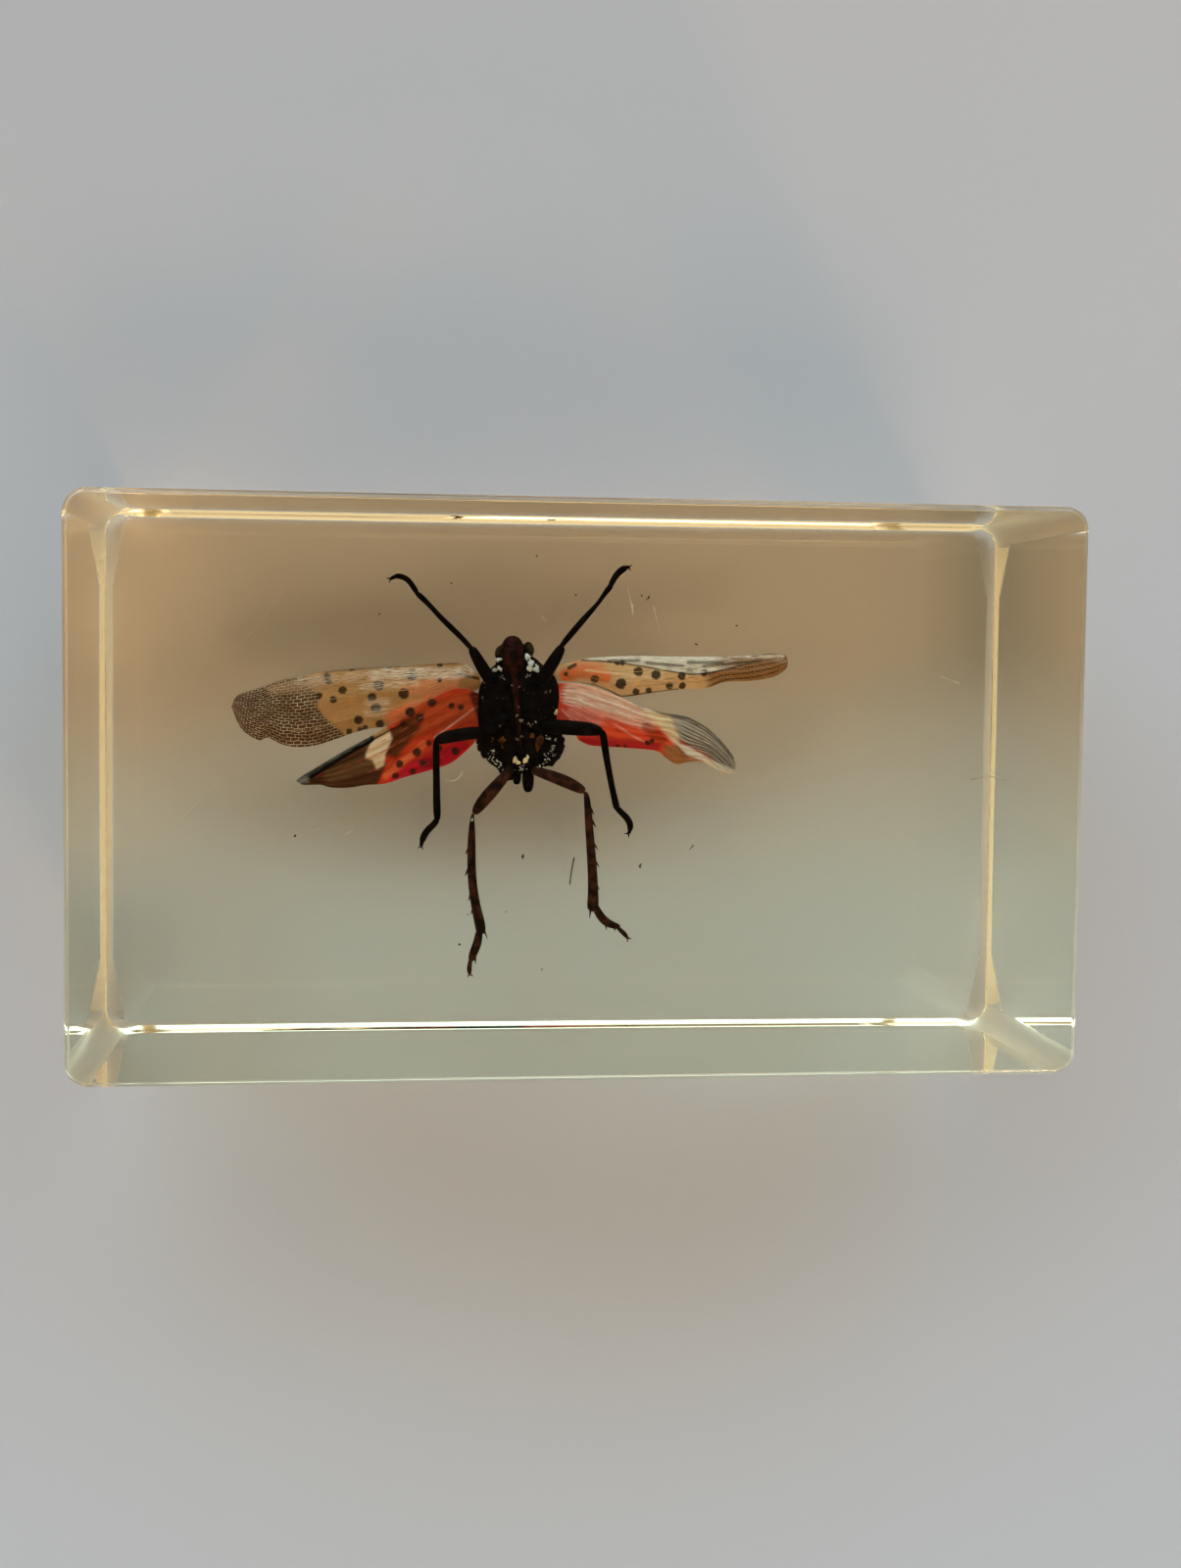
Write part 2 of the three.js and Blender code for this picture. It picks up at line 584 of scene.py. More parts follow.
class Wing:
    """A wing's sheet: its shape in plan, its height, and the washes of pigment laid on it."""

    def __init__(self, name, leading, trailing, base_height, tip_height, camber, folds, fold_depth):
        self.name = name
        self.along = int(np.linalg.norm(np.array(leading[0]) - np.array(leading[-1])) / STEP)
        self.across = int(WIDEST / STEP)
        self.front = smooth_line(leading, self.along)
        self.back = smooth_line(trailing, self.along)
        self.base_height, self.rise = base_height, tip_height - base_height
        self.camber, self.folds, self.fold_depth = camber, folds, fold_depth
        self.lay()

    def place(self, u, v):
        """The points a share u of the way from base to tip and v from the leading to the trailing edge."""
        steps = np.linspace(0, 1, self.along)
        front = np.stack([np.interp(u, steps, self.front[:, k]) for k in (0, 1)], axis=1)
        back = np.stack([np.interp(u, steps, self.back[:, k]) for k in (0, 1)], axis=1)
        plan = front + (back - front) * v[:, None]
        height = self.base_height + self.rise * u
        height += self.camber * np.sin(math.pi * v) * np.sin(math.pi * np.clip(u, 0, 1)) ** 0.5
        height += self.fold_depth * np.sin(2 * math.pi * self.folds * v) * ease(u, 0.0, 0.25)
        height += RIPPLE * np.sin(3.1 * plan[:, 0] + 1.7 * plan[:, 1]) * ease(u, 0.1, 0.6)
        return np.column_stack([plan, height])

    def lay(self):
        """Adds the grid, lays it in place with its upper side up, and stretches its UV map to millimetres."""
        deselect()
        bpy.ops.mesh.primitive_grid_add(x_subdivisions=self.along - 1, y_subdivisions=self.across - 1, size=1)
        self.piece = bpy.context.object
        self.piece.name = self.name
        mesh = self.piece.data
        flat = np.empty(len(mesh.vertices) * 3)
        mesh.vertices.foreach_get("co", flat)
        flat = flat.reshape(-1, 3)
        self.u, self.v = flat[:, 0] + 0.5, flat[:, 1] + 0.5
        at = self.place(self.u, self.v)
        self.plan = at[:, :2]
        mesh.vertices.foreach_set("co", (at * MM).ravel())
        mesh.update()
        corners = np.empty(len(mesh.loops), dtype=int)
        mesh.loops.foreach_get("vertex_index", corners)
        length = np.linalg.norm(self.front[-1] - self.front[0])
        width = np.linalg.norm(self.front - self.back, axis=1).max()
        grid = np.column_stack([self.u * length, self.v * width])[corners]
        mesh.uv_layers[0].data.foreach_set("uv", grid.ravel())
        if mesh.polygons[len(mesh.polygons) // 2].normal.z < 0:
            bpy.ops.object.mode_set(mode="EDIT")
            bpy.ops.mesh.select_all(action="SELECT")
            bpy.ops.mesh.flip_normals()
            bpy.ops.object.mode_set(mode="OBJECT")
        bpy.ops.object.shade_smooth()
        self.pigment = np.ones((len(mesh.vertices), 4))
        self.marks = {name: np.zeros(len(mesh.vertices)) for name in ("net", "painted_sheen")}
        self.marks["spot"] = np.full(len(mesh.vertices), NO_SPOT)

    def wash(self, colour, amount=1.0):
        """Lays a wash of pigment over the wing, by an amount from 0 to 1 at each place or all over."""
        amount = np.reshape(np.clip(amount, 0, 1), (-1, 1))
        self.pigment = self.pigment * (1 - amount) + np.array(linear(colour)) * amount

    def stroke(self, points, half_width, soft, colour, amount=1.0):
        """One stroke of the brush along a line, with a soft edge."""
        gap, _ = distance_to_line(self.plan, points)
        self.wash(colour, amount * ease(gap, half_width + soft, half_width))

    def patch(self, colour, outer, inner, outline, amount=1.0):
        """A wash inside an outline: none at the outer signed distance from it, and full at the inner one."""
        self.wash(colour, amount * ease(inside_outline(self.plan, outline), outer, inner))

    def painted_sheen(self, points, outer, inner, amount=1.0):
        """Painted sheen of a film of air along a line: none at the outer distance, full at the inner one."""
        gap, _ = distance_to_line(self.plan, points)
        self.marks["painted_sheen"] = np.maximum(self.marks["painted_sheen"], amount * ease(gap, outer, inner))

    def spots(self, places):
        """Round dark spots, each (x, y, radius)."""
        for x, y, radius in places:
            gap = np.linalg.norm(self.plan - np.array((x, y)), axis=1) - radius
            self.marks["spot"] = np.minimum(self.marks["spot"], gap)

    def finish(self, material, thickness):
        """Stores the washes on the mesh and gives the sheet its thickness."""
        mesh = self.piece.data
        colours = mesh.attributes.new("pigment", "FLOAT_COLOR", "POINT")
        colours.data.foreach_set("color", self.pigment.ravel())
        for name, values in self.marks.items():
            mesh.attributes.new(name, "FLOAT", "POINT").data.foreach_set("value", values)
        body = self.piece.modifiers.new("membrane", "SOLIDIFY")
        body.thickness = thickness * MM
        body.offset = 0
        pick(self.piece)
        bpy.ops.object.modifier_apply(modifier=body.name)
        keep_in_block(self.piece, material)

    def veins(self, half_width, material, runs):
        """Raised veins: each run is (u, v) at its root and (u, v) at its end, bowed and tapering outwards."""
        tubes = []
        for (u0, v0), (u1, v1) in runs:
            share = np.linspace(0, 1, 9)
            bow = 0.04 * np.sin(math.pi * share)
            line = self.place(u0 + (u1 - u0) * share, v0 + (v1 - v0) * share + bow)
            taper = half_width * (1 - 0.55 * share)
            rings = [(*place, w, w) for place, w in zip(line, taper)]
            tubes.append(loft("vein", rings, sides=5, rounding=0))
        keep_in_block(join_pieces(self.name + "_veins", tubes), material)


# %% [markdown]
# ## Wing membrane
#
# A planthopper's forewing is thin leathery chitin and its hindwing is a thinner, folded membrane. Both let
# some light through, so the shader mixes a soft surface with a translucent one. The pigment comes from the
# washes on the mesh, and a long grain shades it, as the ridges of a dried wing do.

# %% Pigment and grain
GRAIN = (1.2, 14.0, 1.0)  # grain cells per mm along and across the wing

membrane = new_material("wing_membrane_chitin")
wing_uv = add_node(membrane, "ShaderNodeUVMap", uv_map="UVMap")
grain_scale = add_node(membrane, "ShaderNodeMapping", {"Vector": wing_uv}, Scale=GRAIN)
grain = add_node(membrane, "ShaderNodeTexNoise", {"Vector": grain_scale},
                 Scale=1.0, Detail=5.0, Roughness=0.6)
pigment = add_node(membrane, "ShaderNodeAttribute", attribute_name="pigment")
grain_shade = add_node(membrane, "ShaderNodeMapRange", {"Value": grain},
                       From_Min=0.3, From_Max=0.7, To_Min=0.72, To_Max=1.18)
grained = add_node(membrane, "ShaderNodeVectorMath", {0: pigment, "Scale": grain_shade}, operation="SCALE")

# %% [markdown]
# The tip of the forewing carries a fine net of pale veins in rows, like small bricks. A brick pattern along
# the wing draws it, noise drifts the rows, and more noise fades the net in patches.

# %% Pale net
NET_CELL = (0.50, 0.25)  # mm, length and width of a cell of the net
NET_LINE = 0.026  # mm, half the width of the net's pale lines
NET_DRIFT = 0.35  # mm, how far noise moves the rows

net_drift = add_node(membrane, "ShaderNodeTexNoise", {"Vector": wing_uv}, Scale=1.6, Detail=3.0)
net_place = add_node(membrane, "ShaderNodeVectorMath",
                     {0: net_drift.outputs["Color"], 1: (NET_DRIFT, NET_DRIFT, 0.0), 2: wing_uv},
                     operation="MULTIPLY_ADD")
net_line = add_node(membrane, "ShaderNodeTexBrick", {"Vector": net_place}, Scale=1.0, Mortar_Size=NET_LINE,
                    Mortar_Smooth=0.6, Brick_Width=NET_CELL[0], Row_Height=NET_CELL[1])
net_weight = add_node(membrane, "ShaderNodeAttribute", attribute_name="net")
patchy = add_node(membrane, "ShaderNodeTexNoise", {"Vector": wing_uv}, Scale=1.1, Detail=3.0)
patch_range = add_node(membrane, "ShaderNodeMapRange", {"Value": patchy},
                       From_Min=0.35, From_Max=0.6, To_Min=0.4, To_Max=1.0)
net_share = add_node(membrane, "ShaderNodeMath",
                     {0: net_line.outputs["Fac"], 1: net_weight.outputs["Fac"]}, operation="MULTIPLY")
net_mask = add_node(membrane, "ShaderNodeMath", {0: net_share, 1: patch_range}, operation="MULTIPLY")
netted = add_node(membrane, "ShaderNodeMix", {0: net_mask, 6: grained, 7: linear("#F4E2C8")},
                  data_type="RGBA")
print("the net's rows are", NET_CELL[1], "mm apart")

# %% [markdown]
# A spot is kept on the mesh as the distance to its edge, less than nothing inside. Noise shifts that distance
# a little, so the edge comes out ragged, and dark pigment fills the spot.

# %% Ragged spots
RAGGED = 0.22  # mm, how far noise shifts the edge of a spot

spot_gap = add_node(membrane, "ShaderNodeAttribute", attribute_name="spot")
ragged = add_node(membrane, "ShaderNodeTexNoise", {"Vector": wing_uv}, Scale=5.0, Detail=2.0)
ragged_gap = add_node(membrane, "ShaderNodeMath", {0: ragged, 1: RAGGED, 2: spot_gap.outputs["Fac"]},
                      operation="MULTIPLY_ADD")
spot_mask = add_node(membrane, "ShaderNodeMapRange", {"Value": ragged_gap},
                     From_Min=0.17, From_Max=0.06, To_Max=0.92)
spotted = add_node(membrane, "ShaderNodeMix", {0: spot_mask, 6: netted.outputs[2], 7: linear("#3B2A20")},
                   data_type="RGBA")

# %% [markdown]
# The resin did not wet the wings everywhere. Where it left a film of air, the wing shines silver, in streaks
# that follow the grain. That shine is a painted sheen: the colour there turns near white, with less roughness
# and a little metal gloss. Chitin and resin bend light nearly alike, so the rest of the surface has little
# gloss.

# %% Painted silver sheen and shader
GLOSS_IN_RESIN = 1.1  # index of chitin against the resin round it
GRAIN_RELIEF = 0.08  # mm, how high the grain stands
SILVER_METAL = 0.1  # how much of the film mirrors as metal does

painted_sheen_weight = add_node(membrane, "ShaderNodeAttribute", attribute_name="painted_sheen")
painted_sheen_streak = add_node(membrane, "ShaderNodeMapRange", {"Value": grain}, From_Min=0.44, From_Max=0.54)
painted_sheen_mask = add_node(membrane, "ShaderNodeMath", {0: painted_sheen_streak, 1: painted_sheen_weight.outputs["Fac"]},
                       operation="MULTIPLY")
# Painted sheen: where the film of air reflects, the colour is painted near white.
painted_sheen_colour = add_node(membrane, "ShaderNodeMix", {0: painted_sheen_mask, 6: spotted.outputs[2], 7: linear("#FFFAEE")},
                    data_type="RGBA")
wing_bump = add_node(membrane, "ShaderNodeBump", {"Height": grain}, Strength=0.6, Distance=GRAIN_RELIEF * MM)
wing_gloss = add_node(membrane, "ShaderNodeMapRange", {"Value": painted_sheen_mask}, To_Min=0.5, To_Max=0.4)
silver_metal = add_node(membrane, "ShaderNodeMath", {0: painted_sheen_mask, 1: SILVER_METAL}, operation="MULTIPLY")
wing_face = add_node(membrane, "ShaderNodeBsdfPrincipled",
                     {"Base Color": painted_sheen_colour.outputs[2], "Roughness": wing_gloss, "Metallic": silver_metal,
                      "Normal": wing_bump}, IOR=GLOSS_IN_RESIN)
wing_through = add_node(membrane, "ShaderNodeBsdfTranslucent", {"Color": painted_sheen_colour.outputs[2]})
wing_mix = add_node(membrane, "ShaderNodeMixShader", {1: wing_face, 2: wing_through}, Fac=0.3)
add_node(membrane, "ShaderNodeOutputMaterial", {"Surface": wing_mix})
print(membrane.name + ":", len(membrane.node_tree.nodes), "nodes")

# %% [markdown]
# ## Cuticle, eyes and wax
#
# The body and the legs are hard chitin: it hardened in the air, and drying has wrinkled it. Wax is a soft
# powder that the insect sweats out. In resin each of them shows little gloss, only its colour and a fine
# relief, so one function makes them all, from two colours that drift into each other.

# %% Cuticle, eyes and wax
PIGMENT_DRIFT = 1.4  # patches of the second colour per mm
FINE_WRINKLES = 5.2  # wrinkles per mm
WRINKLE_RELIEF = 0.06  # mm, how high they stand


def plain_chitin(name, colour, second, roughness, bump=0.3):
    """Hard cuticle or packed powder: a colour that drifts to a second one, and fine wrinkles."""
    material = new_material(name)
    place = add_node(material, "ShaderNodeTexCoord").outputs["Object"]
    drift = add_node(material, "ShaderNodeTexNoise", {"Vector": place}, Scale=PIGMENT_DRIFT / MM, Detail=4.0)
    shade = add_node(material, "ShaderNodeMapRange", {"Value": drift}, From_Min=0.4, From_Max=0.68)
    mix = add_node(material, "ShaderNodeMix", {0: shade, 6: linear(colour), 7: linear(second)},
                   data_type="RGBA")
    ridges = add_node(material, "ShaderNodeTexNoise", {"Vector": place}, Scale=FINE_WRINKLES / MM, Detail=3.0)
    relief = add_node(material, "ShaderNodeBump", {"Height": ridges},
                      Strength=bump, Distance=WRINKLE_RELIEF * MM)
    shader = add_node(material, "ShaderNodeBsdfPrincipled", {"Base Color": mix.outputs[2], "Normal": relief},
                      Roughness=roughness, IOR=GLOSS_IN_RESIN)
    add_node(material, "ShaderNodeOutputMaterial", {"Surface": shader})
    return material


black_cuticle = plain_chitin("black_body_cuticle", "#040303", "#140C09", 0.5)
brown_cuticle = plain_chitin("brown_leg_cuticle", "#1A0E0A", "#46281C", 0.45)
dark_red_cuticle = plain_chitin("dark_red_frons_cuticle", "#120706", "#3A1612", 0.45)
eye_facets = plain_chitin("olive_eye_facets", "#080604", "#3A2E1A", 0.35, bump=0.8)
amber_cuticle = plain_chitin("amber_soft_cuticle", "#38200C", "#7A4C1E", 0.5)
wing_vein = plain_chitin("tan_wing_vein", "#A88458", "#D8BC8C", 0.5)
red_vein = plain_chitin("red_wing_vein", "#9A2A24", "#D86A50", 0.5)
white_wax = plain_chitin("white_wax_powder", "#E8EFEA", "#B9C4BE", 0.9)
# Wax crumbs that also serve as painted glints on the underside.
pale_speck = plain_chitin("pale_wax_and_painted_glint", "#F4F2E6", "#9C9A90", 0.9)
grey_speck = plain_chitin("grey_wax_and_painted_glint", "#948878", "#4A4036", 0.9)
cream_wax = plain_chitin("cream_wax_powder", "#F0DDB4", "#D9BE88", 0.9)
brown_dust = plain_chitin("brown_dust", "#2A1C12", "#5A4430", 0.9)
pale_scratch = plain_chitin("pale_resin_scratch", "#E2D8C4", "#C8BCA4", 0.9)
print("materials:", len(bpy.data.materials))

# %% [markdown]
# ## The left forewing
#
# The spread forewing is a long leathery paddle, widest near its tip. Its inner two thirds are tan with dark
# round spots, and its tip is brown under a pale net of veins. A painted silver sheen, where a film of air
# reflects, runs under the leading edge. A stroke is given by its line, its half width and soft edge in
# millimetres, its colour and its amount.

# %% Left forewing
FOREWING_THICKNESS = 0.06  # mm

fore = Wing(
    "left_forewing",
    leading=[(-7.1, 8.0), (-8.0, 8.8), (-8.9, 9.05), (-11.4, 8.9), (-14.2, 8.7), (-17.0, 8.5), (-18.9, 8.3),
             (-20.4, 8.0), (-22.1, 7.6), (-23.8, 7.0), (-25.3, 6.45), (-25.75, 5.6)],
    trailing=[(-7.1, 7.2), (-8.2, 6.6), (-10.0, 5.7), (-12.0, 4.6), (-14.1, 4.2), (-15.6, 4.0), (-17.0, 3.6),
              (-17.8, 3.3), (-19.3, 2.8), (-20.7, 2.6), (-22.0, 2.8), (-23.1, 3.3), (-23.7, 3.1),
              (-24.8, 3.7), (-25.3, 4.4), (-25.75, 5.6)],
    base_height=12.6, tip_height=12.0, camber=0.35, folds=3, fold_depth=0.05,
)
fore.wash("#CE9E66")
TIP_LINE = [(9.0, -21.2), (7.6, -20.2), (6.5, -19.1), (5.7, -19.4), (4.9, -18.9), (4.2, -18.0), (3.0, -16.8)]
tip_y, tip_x = zip(*sorted(TIP_LINE))
beyond_tip_line = ease(fore.plan[:, 0] - np.interp(fore.plan[:, 1], tip_y, tip_x), 0.12, -0.12)
fore.wash("#664428", beyond_tip_line)
fore.stroke([(-22.5, 7.3), (-19.0, 7.6)], 0.35, 0.7, "#C4A078", 0.7)
fore.marks["net"] = beyond_tip_line
fore.stroke([(-25.6, 6.1), (-24.2, 6.8), (-21.0, 7.9)], 0.12, 0.12, "#7A5840", 0.8)
fore.stroke([(-25.9, 5.0), (-24.8, 4.5), (-24.2, 6.4)], 0.5, 0.8, "#5E3C28", 0.7)
fore.stroke([(-8.3, 7.3), (-13.6, 4.9)], 0.3, 0.6, "#FF9460", 0.9)
fore.stroke([(-9.2, 7.9), (-12.6, 6.9)], 0.15, 0.6, "#FFA274", 0.7)
fore.stroke([(-7.2, 7.6), (-8.4, 7.5)], 0.3, 0.2, "#C8945C", 0.9)
fore.stroke([(-7.3, 7.9), (-8.9, 8.25)], 0.06, 0.1, "#4A2E1C", 0.9)
fore.stroke([(-8.9, 9.05), (-14.2, 8.7), (-18.9, 8.3)], 0.05, 0.1, "#8A6A48", 0.8)
# Painted silver sheen under the leading edge and in a few streaks across the wing.
gap, along = distance_to_line(fore.plan, [(-8.0, 8.5), (-9.2, 8.25), (-13.0, 8.25), (-16.6, 7.9)])
fore.marks["painted_sheen"] = ease(gap, 0.6, 0.25) * ease(along, 1.0, 0.8)
fore.painted_sheen([(-16.0, 8.0), (-20.6, 7.5)], 0.6, 0.1, 0.45)
for line in ([(-15.6, 6.0), (-14.2, 6.1)], [(-15.6, 5.2), (-14.4, 5.3)], [(-12.0, 7.55), (-16.0, 7.2)]):
    fore.painted_sheen(line, 0.5, 0.05, 0.5)
fore.spots([(-18.65, 7.95, 0.24), (-18.55, 7.55, 0.24), (-17.5, 6.9, 0.31), (-18.2, 6.2, 0.27),
            (-19.2, 6.5, 0.22), (-16.8, 8.5, 0.16), (-14.0, 8.65, 0.2), (-12.3, 8.1, 0.38),
            (-14.8, 7.3, 0.4), (-15.3, 6.4, 0.33), (-15.0, 5.6, 0.36), (-12.9, 6.7, 0.4),
            (-16.3, 4.7, 0.33), (-16.2, 3.95, 0.2), (-15.8, 4.1, 0.2), (-14.7, 4.4, 0.32),
            (-17.0, 3.8, 0.24), (-12.4, 5.3, 0.38), (-11.7, 4.9, 0.3), (-10.8, 6.0, 0.33),
            (-10.2, 7.75, 0.18), (-10.2, 8.85, 0.2), (-9.3, 5.8, 0.25), (-8.6, 5.7, 0.25)])
fore.veins(0.045, wing_vein, [
    ((0.04, 0.3), (0.74, 0.12)), ((0.04, 0.35), (0.78, 0.24)), ((0.05, 0.4), (0.82, 0.36)),
    ((0.05, 0.45), (0.86, 0.48)), ((0.06, 0.5), (0.82, 0.62)), ((0.06, 0.58), (0.74, 0.78)),
    ((0.07, 0.68), (0.6, 0.92))])
fore.finish(membrane, FOREWING_THICKNESS)

# %% [markdown]
# ## The left hindwing
#
# The hindwing is a soft fan, vermilion at its root with dark spots, then a smoky band, a white patch and a
# brown tip under a black, folded front edge.

# %% Left hindwing
HINDWING_THICKNESS = 0.045  # mm

hind = Wing(
    "left_hindwing",
    leading=[(-6.9, 6.7), (-8.9, 7.1), (-11.0, 6.2), (-12.1, 5.5), (-13.3, 4.6), (-14.1, 4.2), (-15.3, 3.5),
             (-17.1, 2.5), (-18.9, 1.4), (-20.75, 0.25), (-20.8, 0.0)],
    trailing=[(-6.9, 4.0), (-7.6, 3.0), (-8.3, 2.3), (-9.3, 1.5), (-10.7, 1.0), (-12.8, 0.4), (-14.3, -0.1),
              (-15.7, -0.2), (-16.9, -0.4), (-18.3, -0.4), (-19.1, -0.2), (-20.4, -0.2), (-20.8, 0.0)],
    base_height=13.2, tip_height=12.9, camber=0.2, folds=6, fold_depth=0.07,
)
hind.wash("#DC4628")
hind.stroke([(-7.4, 6.0), (-12.0, 4.6)], 0.7, 0.9, "#C8562A", 0.8)
hind.stroke([(-8.6, 2.6), (-11.0, 1.3), (-13.4, 0.5)], 0.4, 0.6, "#DC1E38", 0.9)
hind.stroke([(-11.4, 1.5), (-10.4, 1.6)], 0.2, 0.3, "#A01828", 0.8)
hind.stroke([(-7.4, 5.8), (-9.5, 4.2), (-10.6, 3.4)], 0.02, 0.09, "#FFC8A8", 0.6)
hind.stroke([(-11.4, 2.9), (-14.2, 0.5)], 0.12, 0.3, "#FF8850", 0.7)
hind.stroke([(-7.6, 6.6), (-6.8, 4.4)], 0.2, 0.3, "#43150F", 0.85)
hind.patch("#5E3A24", 0.12, -0.12, [
    (-15.6, 3.6), (-14.2, 1.4), (-15.0, -0.6), (-21.5, -0.6), (-21.5, 0.6), (-17.0, 2.9)])
hind.stroke([(-15.2, 1.6), (-18.4, 0.4)], 0.25, 0.5, "#86603C", 0.7)
hind.patch("#6C3A1E", 0.3, -0.15, [
    (-13.8, 3.9), (-12.9, 4.5), (-11.7, 4.1), (-12.4, 3.3), (-13.5, 1.9), (-14.2, 2.1)])
hind.patch("#3A2414", 0.25, -0.1, [(-13.2, 4.6), (-11.4, 5.2), (-11.8, 4.3), (-12.9, 4.1)], 0.7)
hind.patch("#F4DCB8", 0.14, -0.08, [
    (-15.7, 2.2), (-15.2, 3.2), (-14.0, 3.9), (-13.8, 3.3), (-14.3, 2.1), (-14.4, 1.3), (-14.9, 1.0),
    (-15.2, 1.7), (-15.7, 1.8)])
hind.stroke([(-14.3, 4.0), (-15.6, 3.35)], 0.14, 0.12, "#B99A64", 0.9)
hind.stroke([(-15.4, 3.3), (-17.1, 2.3), (-18.9, 1.2), (-20.6, 0.1)], 0.26, 0.08, "#0D0A0A", 1.0)
hind.stroke([(-12.9, 4.5), (-15.4, 3.1)], 0.03, 0.07, "#2A1A10", 0.9)
# Painted silver sheen along the black front edge and at the tip.
hind.painted_sheen([(-15.6, 3.4), (-17.1, 2.5), (-18.9, 1.4), (-20.75, 0.2)], 0.35, 0.05, 0.22)
hind.painted_sheen([(-20.2, 0.2), (-20.7, 0.1)], 0.4, 0.1, 0.6)
hind.spots([(-11.9, 2.3, 0.33), (-13.2, 1.4, 0.28), (-11.4, 1.45, 0.25), (-12.2, 0.85, 0.25),
            (-13.5, 0.5, 0.25), (-11.0, 3.0, 0.2), (-9.0, 2.4, 0.3), (-10.2, 2.6, 0.22),
            (-12.4, 5.3, 0.36), (-11.7, 4.9, 0.3), (-10.8, 6.05, 0.32), (-9.3, 5.8, 0.24),
            (-8.6, 5.7, 0.24), (-13.6, 4.55, 0.2)])
hind.veins(0.035, red_vein, [
    ((0.03, 0.1), (0.86, 0.2)), ((0.03, 0.2), (0.9, 0.45)), ((0.03, 0.35), (0.85, 0.8)),
    ((0.03, 0.5), (0.68, 0.95)), ((0.03, 0.65), (0.5, 0.96)), ((0.03, 0.8), (0.32, 0.97))])
hind.finish(membrane, HINDWING_THICKNESS)

# %% [markdown]
# ## The right forewing
#
# The right forewing dried half folded, so it shows as a narrow blade. Its front strip has turned over, and
# the film of air on it shines like foil. That shine is painted: a near-white wash and a silver sheen, broken
# by dark lines.

# %% Right forewing
blade = Wing(
    "right_forewing",
    leading=[(-1.5, 8.7), (-0.9, 9.05), (0.1, 9.25), (1.2, 9.5), (4.2, 9.7), (6.6, 9.7), (9.4, 9.7),
             (13.1, 9.8), (15.3, 10.0), (16.45, 9.9), (16.65, 9.4)],
    trailing=[(-1.5, 7.8), (0.1, 7.7), (1.5, 7.5), (2.8, 7.0), (3.7, 6.6), (5.9, 6.9), (8.1, 7.2),
              (10.2, 7.3), (11.7, 7.8), (13.6, 7.9), (15.0, 8.1), (15.9, 8.4), (16.55, 8.9), (16.65, 9.4)],
    base_height=12.7, tip_height=12.2, camber=0.5, folds=2, fold_depth=0.06,
)
blade.wash("#F2CF9C")
right_tip = ease(blade.plan[:, 0] + 0.4 * (blade.plan[:, 1] - 8.5), 9.6, 10.6)
blade.wash("#B07C4A", right_tip)
blade.marks["net"] = right_tip * 0.35
tip_streaks = ease(np.sin(2 * math.pi * 5 * blade.v + 0.9 * blade.plan[:, 0]), 0.2, 0.8)
blade.wash("#4A2C18", 0.8 * right_tip * tip_streaks)
blade.stroke([(-0.6, 8.2), (0.6, 8.55), (2.4, 8.15)], 0.28, 0.4, "#FF8E54", 0.95)
blade.stroke([(0.2, 9.0), (2.0, 8.9)], 0.12, 0.35, "#FFA878", 0.7)
blade.stroke([(-0.4, 8.75), (0.1, 9.0)], 0.08, 0.1, "#4A2E1C", 0.9)
blade.stroke([(-1.0, 7.65), (1.5, 7.5), (2.8, 7.0), (3.7, 6.6), (8.1, 7.2)], 0.05, 0.08, "#5A3E26", 0.85)
blade.stroke([(0.9, 8.6), (4.0, 8.3), (7.0, 8.0)], 0.04, 0.1, "#FFE0B0", 0.8)
FOLDED_STRIP = [(0.6, 9.35), (2.0, 9.3), (3.1, 9.22), (5.3, 8.95), (7.5, 8.55), (9.2, 8.35), (11.0, 8.6),
                (12.6, 9.0), (13.6, 9.3)]
strip_x, strip_y = zip(*FOLDED_STRIP)
above_strip = blade.plan[:, 1] - np.interp(blade.plan[:, 0], strip_x, strip_y)
in_strip = ease(above_strip, 0.0, 0.1) * ease(blade.plan[:, 0], 0.4, 1.2)
# Painted foil sheen: the near-white wash and the silver mark stand in for the film of air's reflection.
blade.wash("#F0EADC", in_strip * ease(blade.plan[:, 0], 12.5, 10.0))
blade.marks["painted_sheen"] = in_strip * (0.25 + 0.75 * ease(blade.plan[:, 0], 13.5, 10.0))
# Dark lines break the painted sheen of the strip.
for line in ([(2.6, 9.3), (5.0, 9.35)], [(5.6, 9.2), (8.4, 9.0)], [(8.8, 9.25), (11.5, 9.3)],
             [(10.0, 9.0), (14.5, 9.45)]):
    blade.stroke(line, 0.05, 0.14, "#4A3C30", 0.75)
    gap, _ = distance_to_line(blade.plan, line)
    blade.marks["painted_sheen"] *= 1 - 0.8 * ease(gap, 0.2, 0.05)
# Painted silver sheen along the leading edge towards the tip.
blade.painted_sheen([(9.0, 9.7), (13.1, 9.75), (16.2, 9.8)], 0.25, 0.05, 0.9)
blade.stroke(FOLDED_STRIP, 0.03, 0.06, "#54402E", 0.9)
blade.spots([(3.7, 9.2, 0.22), (3.3, 9.2, 0.2), (4.95, 8.55, 0.36), (6.3, 8.3, 0.36), (3.6, 7.6, 0.4),
             (1.6, 7.95, 0.3), (4.8, 7.0, 0.26), (5.8, 7.1, 0.24), (7.4, 7.5, 0.28), (8.4, 7.5, 0.26),
             (8.3, 8.25, 0.3), (8.9, 8.6, 0.26), (10.0, 8.5, 0.28), (-0.6, 8.3, 0.16)])
blade.veins(0.04, wing_vein, [
    ((0.04, 0.4), (0.8, 0.3)), ((0.05, 0.5), (0.85, 0.45)), ((0.05, 0.6), (0.85, 0.62)),
    ((0.06, 0.7), (0.8, 0.78)), ((0.06, 0.82), (0.5, 0.92))])
blade.finish(membrane, FOREWING_THICKNESS)
